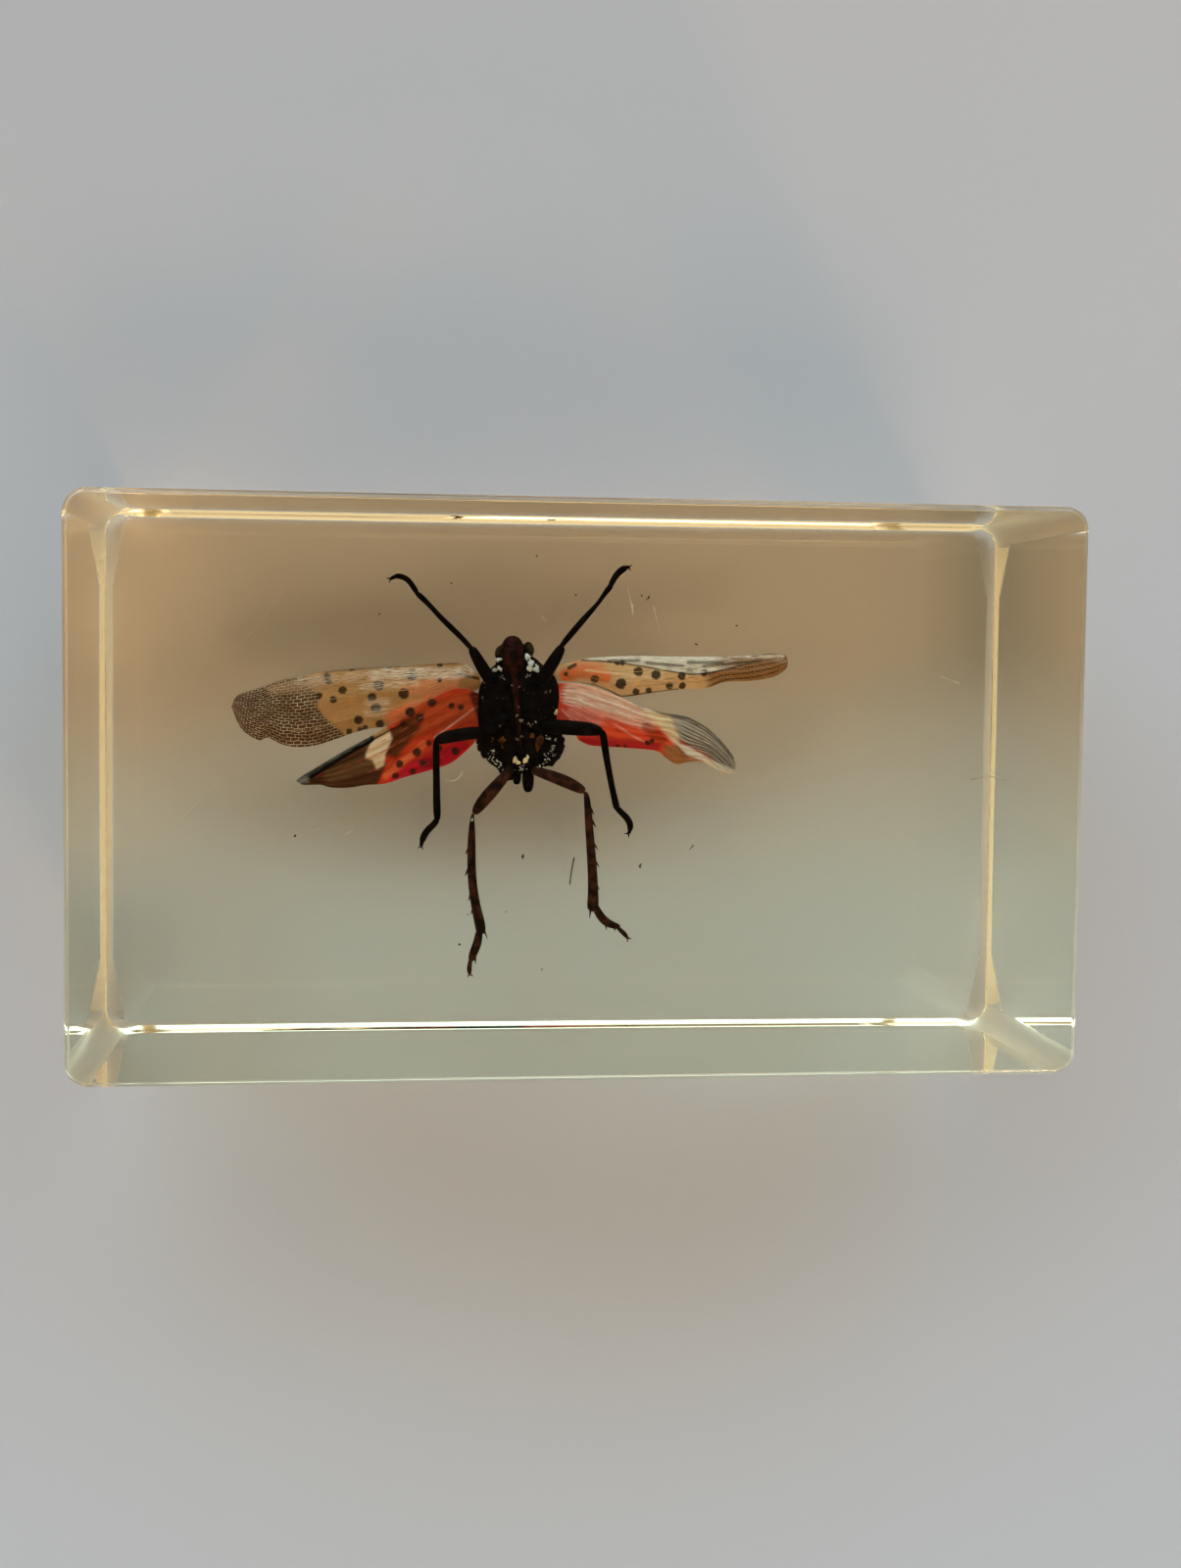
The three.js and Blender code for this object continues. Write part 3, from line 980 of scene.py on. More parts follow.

# %% [markdown]
# ## The right hindwing
#
# The right hindwing is crumpled into a narrow fan: painted pink highlights and silver sheen on the creases
# over its root, red below, a pale triangle, and a grey tip whose creases are painted lit and shaded.

# %% Right hindwing
fan = Wing(
    "right_hindwing",
    leading=[(-1.5, 7.5), (-0.8, 7.6), (0.8, 7.5), (3.1, 6.75), (5.2, 5.85), (6.9, 5.4), (8.8, 5.1),
             (10.3, 4.3), (11.5, 3.2), (12.4, 2.1), (12.65, 1.2), (12.4, 0.8)],
    trailing=[(-1.5, 4.3), (0.1, 3.7), (0.4, 3.3), (1.3, 2.9), (2.6, 2.8), (4.3, 2.7), (6.4, 2.5),
              (7.1, 2.0), (8.0, 1.5), (9.3, 1.7), (10.2, 1.6), (11.1, 1.1), (11.9, 0.75), (12.4, 0.8)],
    base_height=13.2, tip_height=12.8, camber=0.3, folds=7, fold_depth=0.1,
)
fan.wash("#F65A44")
# Painted pink highlights on the creases over the root.
fan.stroke([(0.2, 6.9), (3.2, 5.9), (5.6, 5.0)], 0.6, 0.8, "#FFD2BC", 1.0)
fan.stroke([(0.0, 5.4), (2.2, 4.6)], 0.3, 0.5, "#FFA896", 0.8)
fan.stroke([(2.6, 4.2), (5.4, 3.4), (7.0, 2.9)], 0.4, 0.5, "#FF6A40", 0.85)
fan.stroke([(0.8, 3.2), (3.4, 3.0), (6.4, 2.8)], 0.15, 0.4, "#D02434", 0.8)
fan.stroke([(5.6, 4.3), (6.8, 3.4)], 0.2, 0.35, "#C04A24", 0.7)
fan.patch("#FFF0CC", 0.3, -0.15, [(4.6, 6.4), (6.4, 5.9), (9.4, 5.2), (8.2, 3.6), (8.0, 2.9), (6.9, 4.1)])
fan.patch("#CFC6BA", 0.25, -0.1, [
    (7.4, 5.5), (9.4, 5.4), (13.2, 1.6), (12.6, 0.6), (10.2, 2.4), (8.4, 3.3), (7.9, 4.2)])
fan.patch("#C08454", 0.25, -0.15, [(7.0, 2.9), (8.2, 2.9), (10.4, 1.9), (9.6, 1.4), (8.0, 1.3), (7.0, 1.8)])
creases = 0.5 + 0.5 * np.sin(2 * math.pi * 14 * fan.v)
# Painted shade on one side of each crease of the grey tip.
fan.wash("#4A4038", 0.85 * ease(creases, 0.55, 0.9) * ease(fan.plan[:, 0], 7.6, 8.8) * ease(fan.v, 0.9, 0.7))
fan.stroke([(4.6, 6.1), (6.9, 5.35), (8.8, 5.0), (10.3, 4.2), (11.5, 3.1),
            (12.4, 2.0)], 0.05, 0.1, "#5A5048", 0.8)
# Painted silver sheen on the root's creases.
fan.painted_sheen([(-0.4, 6.6), (2.0, 6.4), (5.4, 5.4)], 0.9, 0.3, ease(creases, 0.3, 0.6))
fan.painted_sheen([(-0.8, 6.2), (1.2, 6.0), (4.2, 5.2)], 0.16, 0.04, 0.9)
fan.patch("#FFFAF0", 0.12, -0.08, [
    (7.9, 3.1), (9.0, 2.75), (10.8, 1.75), (12.5, 1.05), (12.5, 0.6), (11.2, 1.0), (10.0, 1.75), (8.8, 2.2)])
# A painted glint on the other side of the same creases.
tip_glint = ease(fan.plan[:, 0], 8.2, 9.4) * ease(creases, 0.2, 0.02)
fan.marks["painted_sheen"] = np.maximum(fan.marks["painted_sheen"], 0.7 * tip_glint)
# Thin painted highlights along creases that run out from the root.
for line in ([(-0.9, 5.6), (0.6, 4.0)], [(3.0, 4.6), (4.6, 3.6), (5.4, 3.2)]):
    fan.stroke(line, 0.03, 0.1, "#FFCAB4", 0.6)
fan.spots([(6.05, 3.25, 0.2), (5.7, 3.1, 0.2), (3.4, 2.85, 0.14), (4.0, 2.85, 0.14)])
fan.veins(0.035, red_vein, [
    ((0.03, 0.1), (0.55, 0.1)), ((0.03, 0.25), (0.6, 0.28)), ((0.03, 0.4), (0.62, 0.46)),
    ((0.03, 0.55), (0.6, 0.64)), ((0.03, 0.7), (0.55, 0.8)), ((0.03, 0.85), (0.5, 0.93))])
fan.finish(membrane, HINDWING_THICKNESS)

# %% [markdown]
# ## The body
#
# The body is a row of dark shells: a long frons between bulging eyes, a broad thorax that carries the legs,
# and a short wide abdomen whose rings have drawn in as it dried. Each is lofted through rings. Drying has
# also wrinkled them, so their faces are divided and every vertex is moved a little at random.

# %% Head
WRINKLE = 0.04  # mm, how far drying has moved the cuticle


def wrinkle(piece, amount, seed):
    """Divides a shell once and moves its vertices a little at random."""
    pick(piece)
    bpy.ops.object.mode_set(mode="EDIT")
    bpy.ops.mesh.select_all(action="SELECT")
    bpy.ops.mesh.subdivide(number_cuts=1)
    bpy.ops.transform.vertex_random(offset=amount * MM, seed=seed)
    bpy.ops.object.mode_set(mode="OBJECT")
    return piece


head = loft("head_capsule", [
    (-4.85, 10.75, 13.2, 0.5, 0.4), (-4.82, 10.45, 13.3, 1.0, 0.7), (-4.75, 9.9, 13.4, 1.25, 0.85),
    (-4.68, 9.3, 13.4, 1.35, 0.9), (-4.62, 8.8, 13.4, 1.5, 0.9), (-4.6, 8.3, 13.4, 1.2, 0.6)], sides=16)
keep_in_block(wrinkle(head, WRINKLE, 1), black_cuticle)
frons = loft("frons", [
    (-4.8, 11.02, 13.7, 0.35, 0.28), (-4.79, 10.85, 13.9, 0.68, 0.42), (-4.77, 10.4, 14.15, 0.86, 0.52),
    (-4.75, 9.8, 14.3, 0.87, 0.55), (-4.74, 9.2, 14.35, 0.85, 0.54), (-4.72, 8.7, 14.35, 0.72, 0.5),
    (-4.7, 8.2, 14.3, 0.5, 0.42), (-4.68, 7.9, 14.3, 0.25, 0.25)], sides=16)
keep_in_block(frons, dark_red_cuticle)
for side, x, y, lean in (("left", -5.6, 9.8, -0.1), ("right", -3.62, 10.1, 0.12)):
    eye = loft(side + "_compound_eye", [
        (x - lean, y + 0.56, 13.6, 0.18, 0.2), (x, y + 0.38, 13.65, 0.38, 0.42),
        (x + lean, y, 13.7, 0.46, 0.52), (x + lean, y - 0.36, 13.7, 0.38, 0.42),
        (x, y - 0.56, 13.65, 0.16, 0.2)], sides=14)
    keep_in_block(eye, eye_facets)

# %% [markdown]
# The thorax is lofted like the head. The abdomen is worked out from a short list of its rings. Each ring has
# a front and a back edge as wide as the body is there, and the groove behind it is one narrower ring.

# %% Thorax and abdomen
thorax = loft("thorax", [
    (-4.6, 9.45, 13.0, 1.2, 0.7), (-4.5, 9.1, 13.1, 1.75, 1.1), (-4.45, 8.5, 13.2, 2.3, 1.35),
    (-4.4, 7.8, 13.2, 2.9, 1.5), (-4.2, 7.1, 13.2, 3.15, 1.6), (-4.2, 6.2, 13.2, 3.1, 1.7),
    (-4.35, 5.3, 13.2, 3.0, 1.7), (-4.3, 4.6, 13.1, 3.1, 1.6), (-4.15, 3.9, 13.0, 2.9, 1.2),
    (-4.1, 3.5, 13.0, 2.3, 0.9)], sides=24)
keep_in_block(wrinkle(thorax, WRINKLE, 2), black_cuticle)

# The abdomen's rings, each (y, half width, half height) in mm at its middle
ABDOMEN_RINGS = [(4.1, 3.2, 1.4), (3.5, 3.42, 1.5), (2.95, 3.48, 1.5), (2.4, 3.35, 1.45), (1.85, 3.0, 1.3),
                 (1.4, 2.4, 1.1), (1.0, 1.5, 0.8)]
EDGES_AND_GROOVE = ((0.18, 1.0), (-0.16, 1.0), (-0.23, 0.95))  # mm from the middle, and share of the width
WAIST = (-4.02, 3.0)  # mm, where the line of the abdomen's middles starts, x and y
LEAN = 0.05  # sideways share of that line
middles, half_widths, half_heights = zip(*reversed(ABDOMEN_RINGS))
abdomen_rings = []
for middle in reversed(middles):
    x = WAIST[0] - LEAN * (WAIST[1] - middle)
    for ahead, draw_in in EDGES_AND_GROOVE:
        y = middle + ahead
        half_width = draw_in * np.interp(y, middles, half_widths)
        half_height = draw_in * np.interp(y, middles, half_heights)
        abdomen_rings.append((x, y, 13.0, half_width, half_height))
abdomen_rings.append((-4.0, 0.62, 13.0, 0.8, 0.5))
abdomen = loft("abdomen", abdomen_rings, sides=24)
keep_in_block(wrinkle(abdomen, WRINKLE, 3), black_cuticle)

# %% [markdown]
# A beak lies between the roots of the legs. Each leg is hung on a coxa, a short stout joint, and six of them
# fill most of the underside. Two lobes stand out behind, and two flat plates cover the breast.

# %% Beak, coxae and end lobes
rostrum = loft("rostrum", [
    (-4.68, 8.2, 14.5, 0.24, 0.2), (-4.62, 7.6, 14.9, 0.26, 0.2), (-4.55, 6.6, 15.05, 0.22, 0.18),
    (-4.4, 5.4, 15.05, 0.2, 0.16), (-4.3, 4.2, 14.95, 0.2, 0.16), (-4.2, 3.2, 14.7, 0.17, 0.14),
    (-4.15, 2.9, 14.65, 0.1, 0.1)], sides=10)
keep_in_block(rostrum, dark_red_cuticle)
# The first joints of the legs, from root to end: (x, y, z) twice, then the half width in the middle, in mm.
COXAE = {
    "left_front_coxa": ((-5.1, 6.9, 14.4), (-6.3, 7.9, 14.6), 0.62),
    "right_front_coxa": ((-4.1, 6.9, 14.4), (-2.7, 7.8, 14.6), 0.66),
    "left_middle_coxa": ((-4.9, 5.2, 14.5), (-6.9, 3.9, 14.7), 0.62),
    "right_middle_coxa": ((-3.9, 5.2, 14.5), (-2.4, 4.3, 14.7), 0.66),
    "left_hind_coxa": ((-5.0, 3.9, 14.3), (-4.9, 1.4, 14.5), 0.6),
    "right_hind_coxa": ((-3.7, 3.9, 14.3), (-3.1, 1.3, 14.5), 0.6),
}
for number, (name, (root, end, half_width)) in enumerate(COXAE.items()):
    root, end = Vector(root), Vector(end)
    rings = []
    for share, size in ((-0.1, 0.4), (0.08, 0.85), (0.4, 1.0), (0.7, 0.85), (0.92, 0.62), (1.04, 0.3)):
        rings.append((*root.lerp(end, share), half_width * size, half_width * size * 0.75))
    keep_in_block(wrinkle(loft(name, rings, sides=12), WRINKLE * 0.6, 10 + number), black_cuticle)
LOBES = [
    [(-4.3, 1.2, 13.3, 0.25, 0.2), (-4.3, 0.9, 13.5, 0.32, 0.28), (-4.3, 0.3, 13.6, 0.34, 0.28),
     (-4.36, 0.0, 13.6, 0.28, 0.2), (-4.38, -0.12, 13.6, 0.14, 0.1)],
    [(-3.52, 1.3, 13.5, 0.3, 0.2), (-3.5, 0.9, 13.7, 0.46, 0.36), (-3.48, 0.2, 13.8, 0.48, 0.38),
     (-3.48, -0.4, 13.8, 0.42, 0.3), (-3.48, -0.72, 13.8, 0.2, 0.14)],
    [(-5.0, 6.6, 14.7, 0.2, 0.1), (-5.1, 6.0, 14.9, 0.55, 0.2), (-5.2, 5.5, 14.8, 0.5, 0.2),
     (-5.2, 5.1, 14.6, 0.2, 0.1)],
    [(-3.9, 6.6, 14.7, 0.2, 0.1), (-3.6, 6.0, 14.9, 0.6, 0.2), (-3.5, 5.5, 14.8, 0.5, 0.2),
     (-3.4, 5.1, 14.6, 0.2, 0.1)],
]
lobes = [loft("lobe", rings, sides=12) for rings in LOBES]
keep_in_block(join_pieces("end_lobes_and_breastplates", lobes), black_cuticle)

# %% [markdown]
# ## The legs
#
# Each leg is a thick femur, a thin tibia and a jointed foot with two claws, and each of these is one loft
# through rings of (x, y, z, half width). The hind tibiae carry a comb of stout thorns, and their feet are
# toothed. A segment narrows at both ends, where a soft joint lets it bend, and it starts inside the one
# before it.


# %% Leg segments, claws and thorns
def segment(rings):
    """One leg segment, a little flatter than wide. Rounding shrinks a tube, so its rings start wider."""
    return loft("segment", [(x, y, z, w * 1.12, w * 0.95) for x, y, z, w in rings], sides=8)


def thorn(root, tip, width):
    """A stout thorn."""
    root, tip = Vector(root), Vector(tip)
    sizes = ((0, 1), (0.5, 0.6), (1, 0.1))
    rings = [(*root.lerp(tip, share), width * size, width * size) for share, size in sizes]
    return loft("thorn", rings, sides=6, rounding=0)


def leg(name, femur, tibia, foot, material, thorns=()):
    """One leg: its segments from the body outwards, two claws at its end, and thorns (x, y, z, dx, dy)."""
    parts = [segment(part) for part in (femur, tibia, *foot)]
    tip, before = Vector(foot[-1][-1][:3]), Vector(foot[-1][-2][:3])
    ahead = (tip - before).normalized()
    aside = ahead.cross(Vector((0, 0, 1))).normalized()
    for way in (-1, 1):
        parts.append(thorn(tip - ahead * 0.05, tip + ahead * 0.22 + aside * 0.24 * way, 0.09))
    for x, y, z, dx, dy in thorns:
        parts.append(thorn((x, y, z), (x + dx, y + dy, z), 0.14))
    keep_in_block(join_pieces(name, parts), material)


# %% [markdown]
# The front and middle legs are black. The front pair reaches forward past the head, and the middle pair
# reaches out sideways and then back.

# %% Front and middle legs
leg("left_front_leg",
    [(-6.1, 7.4, 14.6, 0.4), (-6.6, 8.0, 14.7, 0.5), (-7.0, 8.6, 14.8, 0.47), (-7.35, 9.2, 14.9, 0.44),
     (-7.7, 9.8, 14.9, 0.38), (-7.95, 10.25, 15.0, 0.28)],
    [(-7.7, 9.9, 15.0, 0.16), (-8.05, 10.3, 15.0, 0.2), (-8.8, 11.1, 14.9, 0.21), (-10.0, 12.2, 14.8, 0.22),
     (-10.6, 12.85, 14.7, 0.18), (-11.2, 13.5, 14.6, 0.19), (-11.8, 14.05, 14.5, 0.23),
     (-12.1, 14.3, 14.4, 0.16)],
    [[(-11.9, 14.1, 14.4, 0.22), (-12.4, 14.9, 14.4, 0.2), (-12.7, 15.25, 14.3, 0.22),
      (-13.1, 15.45, 14.3, 0.21), (-13.55, 15.48, 14.3, 0.21), (-13.7, 15.42, 14.3, 0.13)],
     [(-13.6, 15.45, 14.3, 0.13), (-13.8, 15.36, 14.2, 0.17), (-14.0, 15.24, 14.2, 0.1)]], black_cuticle)
leg("right_front_leg",
    [(-2.9, 7.4, 14.6, 0.4), (-2.45, 8.05, 14.7, 0.52), (-2.05, 8.7, 14.8, 0.5), (-1.65, 9.35, 14.9, 0.47),
     (-1.3, 9.95, 14.9, 0.4), (-1.05, 10.45, 15.0, 0.28)],
    [(-1.3, 10.15, 15.0, 0.16), (-0.95, 10.65, 14.9, 0.22), (-0.3, 11.45, 14.9, 0.24),
     (0.35, 12.2, 14.8, 0.24), (0.95, 12.9, 14.7, 0.21), (1.5, 13.5, 14.7, 0.16),
     (1.85, 13.95, 14.6, 0.15), (2.25, 14.55, 14.5, 0.2), (2.55, 14.9, 14.5, 0.24),
     (2.68, 15.05, 14.4, 0.15)],
    [[(2.5, 14.85, 14.4, 0.22), (2.78, 15.4, 14.4, 0.22), (3.0, 15.8, 14.3, 0.25), (3.35, 16.15, 14.3, 0.26),
      (3.7, 16.35, 14.3, 0.25), (3.8, 16.4, 14.3, 0.13)],
     [(3.7, 16.38, 14.2, 0.12), (3.9, 16.42, 14.2, 0.16), (4.0, 16.4, 14.2, 0.09)]], black_cuticle)
leg("left_middle_leg",
    [(-6.5, 3.8, 14.6, 0.35), (-7.2, 3.85, 14.7, 0.46), (-8.0, 3.8, 14.8, 0.49), (-8.8, 3.65, 14.9, 0.49),
     (-9.7, 3.5, 15.0, 0.48), (-10.3, 3.3, 15.1, 0.4), (-10.6, 3.1, 15.2, 0.22)],
    [(-10.5, 3.35, 15.2, 0.15), (-10.5, 3.0, 15.2, 0.26), (-10.48, 1.4, 14.9, 0.26),
     (-10.42, -0.8, 14.6, 0.27), (-10.38, -2.3, 14.3, 0.3), (-10.33, -2.9, 14.2, 0.2)],
    [[(-10.32, -2.65, 14.2, 0.26), (-10.55, -3.1, 14.2, 0.23), (-11.0, -3.45, 14.1, 0.26),
      (-11.35, -3.95, 14.1, 0.27), (-11.48, -4.4, 14.0, 0.23), (-11.5, -4.5, 14.0, 0.13)],
     [(-11.48, -4.35, 14.0, 0.13), (-11.52, -4.6, 14.0, 0.18), (-11.56, -4.8, 14.0, 0.1)]], black_cuticle)
leg("right_middle_leg",
    [(-2.9, 4.3, 14.6, 0.38), (-2.0, 4.35, 14.7, 0.52), (-1.2, 4.3, 14.8, 0.56), (-0.4, 4.25, 14.9, 0.56),
     (0.5, 4.2, 15.0, 0.54), (1.3, 4.15, 15.1, 0.5), (1.85, 4.0, 15.2, 0.35), (2.05, 3.85, 15.2, 0.18)],
    [(1.95, 4.1, 15.2, 0.18), (2.1, 3.8, 15.2, 0.3), (2.3, 2.4, 15.0, 0.26), (2.65, 0.7, 14.8, 0.24),
     (2.9, -0.4, 14.6, 0.24), (3.08, -1.1, 14.5, 0.24), (3.22, -1.7, 14.4, 0.28), (3.3, -1.98, 14.3, 0.18)],
    [[(3.2, -1.75, 14.3, 0.26), (3.65, -2.2, 14.3, 0.22), (4.1, -2.6, 14.2, 0.26), (4.38, -3.1, 14.2, 0.26),
      (4.34, -3.5, 14.1, 0.22), (4.32, -3.6, 14.1, 0.13)],
     [(4.34, -3.45, 14.1, 0.12), (4.3, -3.7, 14.1, 0.16), (4.2, -3.82, 14.1, 0.09)]], black_cuticle)

# %% [markdown]
# The hind legs are brown and longer. They point back, and short thorns stand along them.

# %% Hind legs
leg("left_hind_leg",
    [(-4.7, 1.3, 14.5, 0.25), (-5.05, 0.85, 14.6, 0.33), (-5.5, 0.3, 14.6, 0.42), (-6.0, -0.25, 14.7, 0.48),
     (-6.65, -1.0, 14.8, 0.5), (-7.2, -1.65, 14.9, 0.44), (-7.5, -2.1, 15.0, 0.32),
     (-7.65, -2.28, 15.0, 0.16)],
    [(-7.66, -2.2, 15.0, 0.1), (-7.75, -2.5, 15.0, 0.14), (-7.74, -3.1, 14.8, 0.21),
     (-7.77, -3.9, 14.6, 0.29), (-7.76, -5.4, 14.4, 0.32), (-7.72, -7.1, 14.2, 0.33),
     (-7.53, -8.6, 14.0, 0.34), (-7.23, -10.0, 13.8, 0.37), (-7.0, -10.9, 13.6, 0.42),
     (-6.95, -11.4, 13.4, 0.36), (-6.95, -11.55, 13.4, 0.2)],
    [[(-7.05, -11.0, 13.4, 0.2), (-7.12, -11.6, 13.4, 0.3), (-7.2, -12.2, 13.4, 0.33),
      (-7.4, -12.7, 13.4, 0.34), (-7.62, -13.3, 13.3, 0.3), (-7.68, -13.65, 13.3, 0.2)],
     [(-7.7, -13.4, 13.3, 0.14), (-7.78, -13.9, 13.2, 0.18), (-7.82, -14.3, 13.2, 0.2),
      (-7.76, -14.65, 13.2, 0.13)]],
    brown_cuticle,
    [(-7.95, -4.9, 14.4, -0.3, -0.5), (-7.95, -6.5, 14.2, -0.3, -0.55), (-7.75, -8.4, 14.0, -0.2, -0.55),
     (-7.55, -9.5, 13.9, -0.2, -0.5), (-6.85, -10.9, 13.5, 0.4, -1.0), (-7.15, -11.1, 13.4, -0.25, -0.6),
     (-7.4, -13.2, 13.3, 0.08, -0.65), (-7.5, -12.6, 13.3, -0.25, -0.5)])
leg("right_hind_leg",
    [(-3.3, 1.1, 14.5, 0.28), (-2.8, 0.9, 14.5, 0.36), (-2.1, 0.7, 14.6, 0.42), (-1.2, 0.38, 14.7, 0.47),
     (-0.3, 0.0, 14.8, 0.46), (0.4, -0.35, 14.9, 0.38), (0.8, -0.6, 15.0, 0.22)],
    [(0.75, -0.55, 15.0, 0.13), (0.92, -0.9, 14.9, 0.21), (0.98, -1.5, 14.8, 0.26), (1.08, -2.2, 14.6, 0.29),
     (1.2, -3.7, 14.4, 0.32), (1.38, -5.4, 14.2, 0.34), (1.52, -7.1, 14.1, 0.37), (1.58, -8.5, 13.9, 0.4),
     (1.6, -9.2, 13.7, 0.46), (1.58, -9.65, 13.5, 0.42), (1.55, -9.85, 13.5, 0.2)],
    [[(1.7, -9.1, 13.5, 0.2), (1.85, -9.6, 13.5, 0.28), (2.15, -10.15, 13.4, 0.32),
      (2.6, -10.65, 13.4, 0.34), (3.1, -10.88, 13.4, 0.28), (3.6, -11.02, 13.3, 0.22),
      (3.75, -11.08, 13.3, 0.12)],
     [(3.5, -11.05, 13.3, 0.13), (3.85, -11.35, 13.3, 0.18), (4.15, -11.65, 13.2, 0.18),
      (4.38, -11.95, 13.2, 0.11)]],
    brown_cuticle,
    [(1.25, -1.9, 14.6, 0.28, -0.45), (1.35, -2.8, 14.5, 0.35, -0.5), (1.45, -4.45, 14.3, 0.45, -0.6),
     (1.6, -5.8, 14.2, 0.42, -0.6), (1.7, -7.5, 14.0, 0.36, -0.65), (1.45, -9.4, 13.6, -0.1, -0.95),
     (2.55, -10.6, 13.4, 0.15, -0.7), (3.25, -10.85, 13.3, 0.12, -0.55), (1.95, -9.5, 13.5, 0.3, -0.6)])

# %% [markdown]
# ## Wax and painted glints
#
# Living planthoppers sweat a white wax powder. Lumps of it stay beside the face, and crumbs of it are caught
# in the wrinkles of the abdomen. The pale and grey specks on the underside are such crumbs and also painted
# glints, bright points put where the black cuticle catches the light. One crumb is modelled, and each copy is
# turned and stretched its own way.

# %% Crumbs
CRUMB_DENTS = 0.3  # mm on a crumb of 1 mm radius, how far its vertices are moved
CRUMB_SIZES = (0.6, 1.2)  # share of the radius that is asked for
CRUMB_LENGTHS = (0.9, 1.6)  # radii
CRUMB_WIDTHS = (0.4, 0.9)  # radii
CRUMB_HEIGHT = 0.5  # radii


def crumbs(name, heaps, material, seed, fineness=1):
    """Crumbs in heaps, each (x, y, z, spread, how many, radius) in mm. Lumps have fineness 2 and specks 1."""
    draw = random.Random(seed)
    deselect()
    bpy.ops.mesh.primitive_ico_sphere_add(subdivisions=fineness, radius=MM)
    pattern = bpy.context.object
    bpy.ops.object.mode_set(mode="EDIT")
    bpy.ops.transform.vertex_random(offset=CRUMB_DENTS * MM, seed=seed)
    bpy.ops.object.mode_set(mode="OBJECT")
    bpy.ops.object.shade_smooth()
    pieces = []
    for x, y, z, spread, count, radius in heaps:
        for _ in range(count):
            crumb = pattern.copy()
            crumb.data = pattern.data.copy()
            bpy.context.scene.collection.objects.link(crumb)
            aside = Vector((draw.gauss(0, spread), draw.gauss(0, spread), 0))
            crumb.location = (Vector((x, y, z)) + aside) * MM
            crumb.rotation_euler = [draw.uniform(0, 2 * math.pi) for _ in range(3)]
            size = radius * draw.uniform(*CRUMB_SIZES)
            length = size * draw.uniform(*CRUMB_LENGTHS)
            width = size * draw.uniform(*CRUMB_WIDTHS)
            crumb.scale = (length, width, size * CRUMB_HEIGHT)
            pieces.append(crumb)
    bpy.data.objects.remove(pattern)
    for crumb in pieces:
        rest_at_origin(crumb)
    keep_in_block(join_pieces(name, pieces), material)


# %% [markdown]
# The heaps follow, each with its place and spread. Most of the cream patches lie on the abdomen, and amber
# skin shows round the joints of the legs.

# %% Wax, painted glints, cream patches and amber skin
crumbs("white_wax_lumps", [
    (-3.65, 9.6, 14.35, 0.03, 2, 0.26), (-3.5, 9.35, 14.4, 0.03, 1, 0.16), (-3.35, 9.0, 14.5, 0.05, 3, 0.24),
    (-3.05, 8.95, 14.5, 0.03, 1, 0.16), (-3.45, 8.7, 14.5, 0.05, 2, 0.22), (-3.1, 8.72, 14.5, 0.04, 2, 0.2),
    (-2.8, 8.6, 14.55, 0.04, 2, 0.2), (-2.85, 8.85, 14.55, 0.03, 1, 0.12), (-5.85, 9.3, 14.2, 0.03, 2, 0.17),
    (-6.15, 8.55, 14.4, 0.04, 2, 0.22), (-5.8, 8.65, 14.5, 0.04, 3, 0.18),
    (-5.65, 8.5, 14.5, 0.03, 1, 0.12)],
    white_wax, 5, fineness=2)
# Pale wax crumbs, which are also painted glints, on the abdomen and a hind leg.
crumbs("pale_specks", [
    (-6.35, 2.05, 14.3, 0.16, 8, 0.075), (-6.05, 1.6, 14.2, 0.16, 9, 0.09),
    (-5.75, 1.25, 14.1, 0.14, 6, 0.08), (-6.3, 2.45, 14.4, 0.15, 4, 0.08),
    (-5.4, 0.95, 14.2, 0.12, 4, 0.07), (-1.9, 2.4, 14.5, 0.2, 7, 0.07), (-1.6, 2.75, 14.4, 0.12, 4, 0.08),
    (-1.95, 1.85, 14.2, 0.16, 7, 0.08), (-1.6, 2.2, 14.2, 0.1, 3, 0.07), (-2.0, 3.45, 14.6, 0.14, 4, 0.1),
    (-1.5, 3.42, 14.5, 0.1, 3, 0.09), (-2.5, 1.25, 14.5, 0.12, 4, 0.12), (-4.1, 1.0, 14.2, 0.25, 6, 0.09),
    (-3.8, 1.2, 14.3, 0.2, 4, 0.08), (-7.7, -2.7, 15.2, 0.08, 4, 0.07)],
    pale_speck, 6)
# Grey wax crumbs, which are also painted glints, on the thorax, the coxae and the breast.
crumbs("grey_specks", [
    (-4.85, 7.4, 14.95, 0.04, 2, 0.1), (-4.25, 7.35, 14.95, 0.05, 3, 0.1), (-4.35, 5.8, 15.2, 0.05, 3, 0.08),
    (-4.4, 5.2, 15.2, 0.05, 3, 0.1), (-4.1, 4.75, 15.1, 0.07, 4, 0.11), (-5.7, 4.35, 15.0, 0.08, 3, 0.1),
    (-3.5, 4.5, 15.0, 0.1, 4, 0.09), (-3.05, 4.65, 15.1, 0.05, 2, 0.12), (-4.4, 3.3, 14.9, 0.06, 4, 0.1),
    (-4.0, 3.5, 14.9, 0.08, 4, 0.12), (-2.1, 7.0, 14.6, 0.1, 3, 0.14), (-3.6, 8.1, 14.8, 0.08, 3, 0.12),
    (-5.6, 8.05, 14.7, 0.08, 3, 0.12), (-6.9, 7.6, 14.0, 0.15, 4, 0.08), (-7.0, 6.4, 13.9, 0.2, 4, 0.07),
    (-3.6, 6.6, 14.9, 0.3, 3, 0.06), (-5.6, 6.4, 14.9, 0.3, 3, 0.06), (-2.2, 5.6, 14.6, 0.3, 3, 0.06)],
    grey_speck, 7)
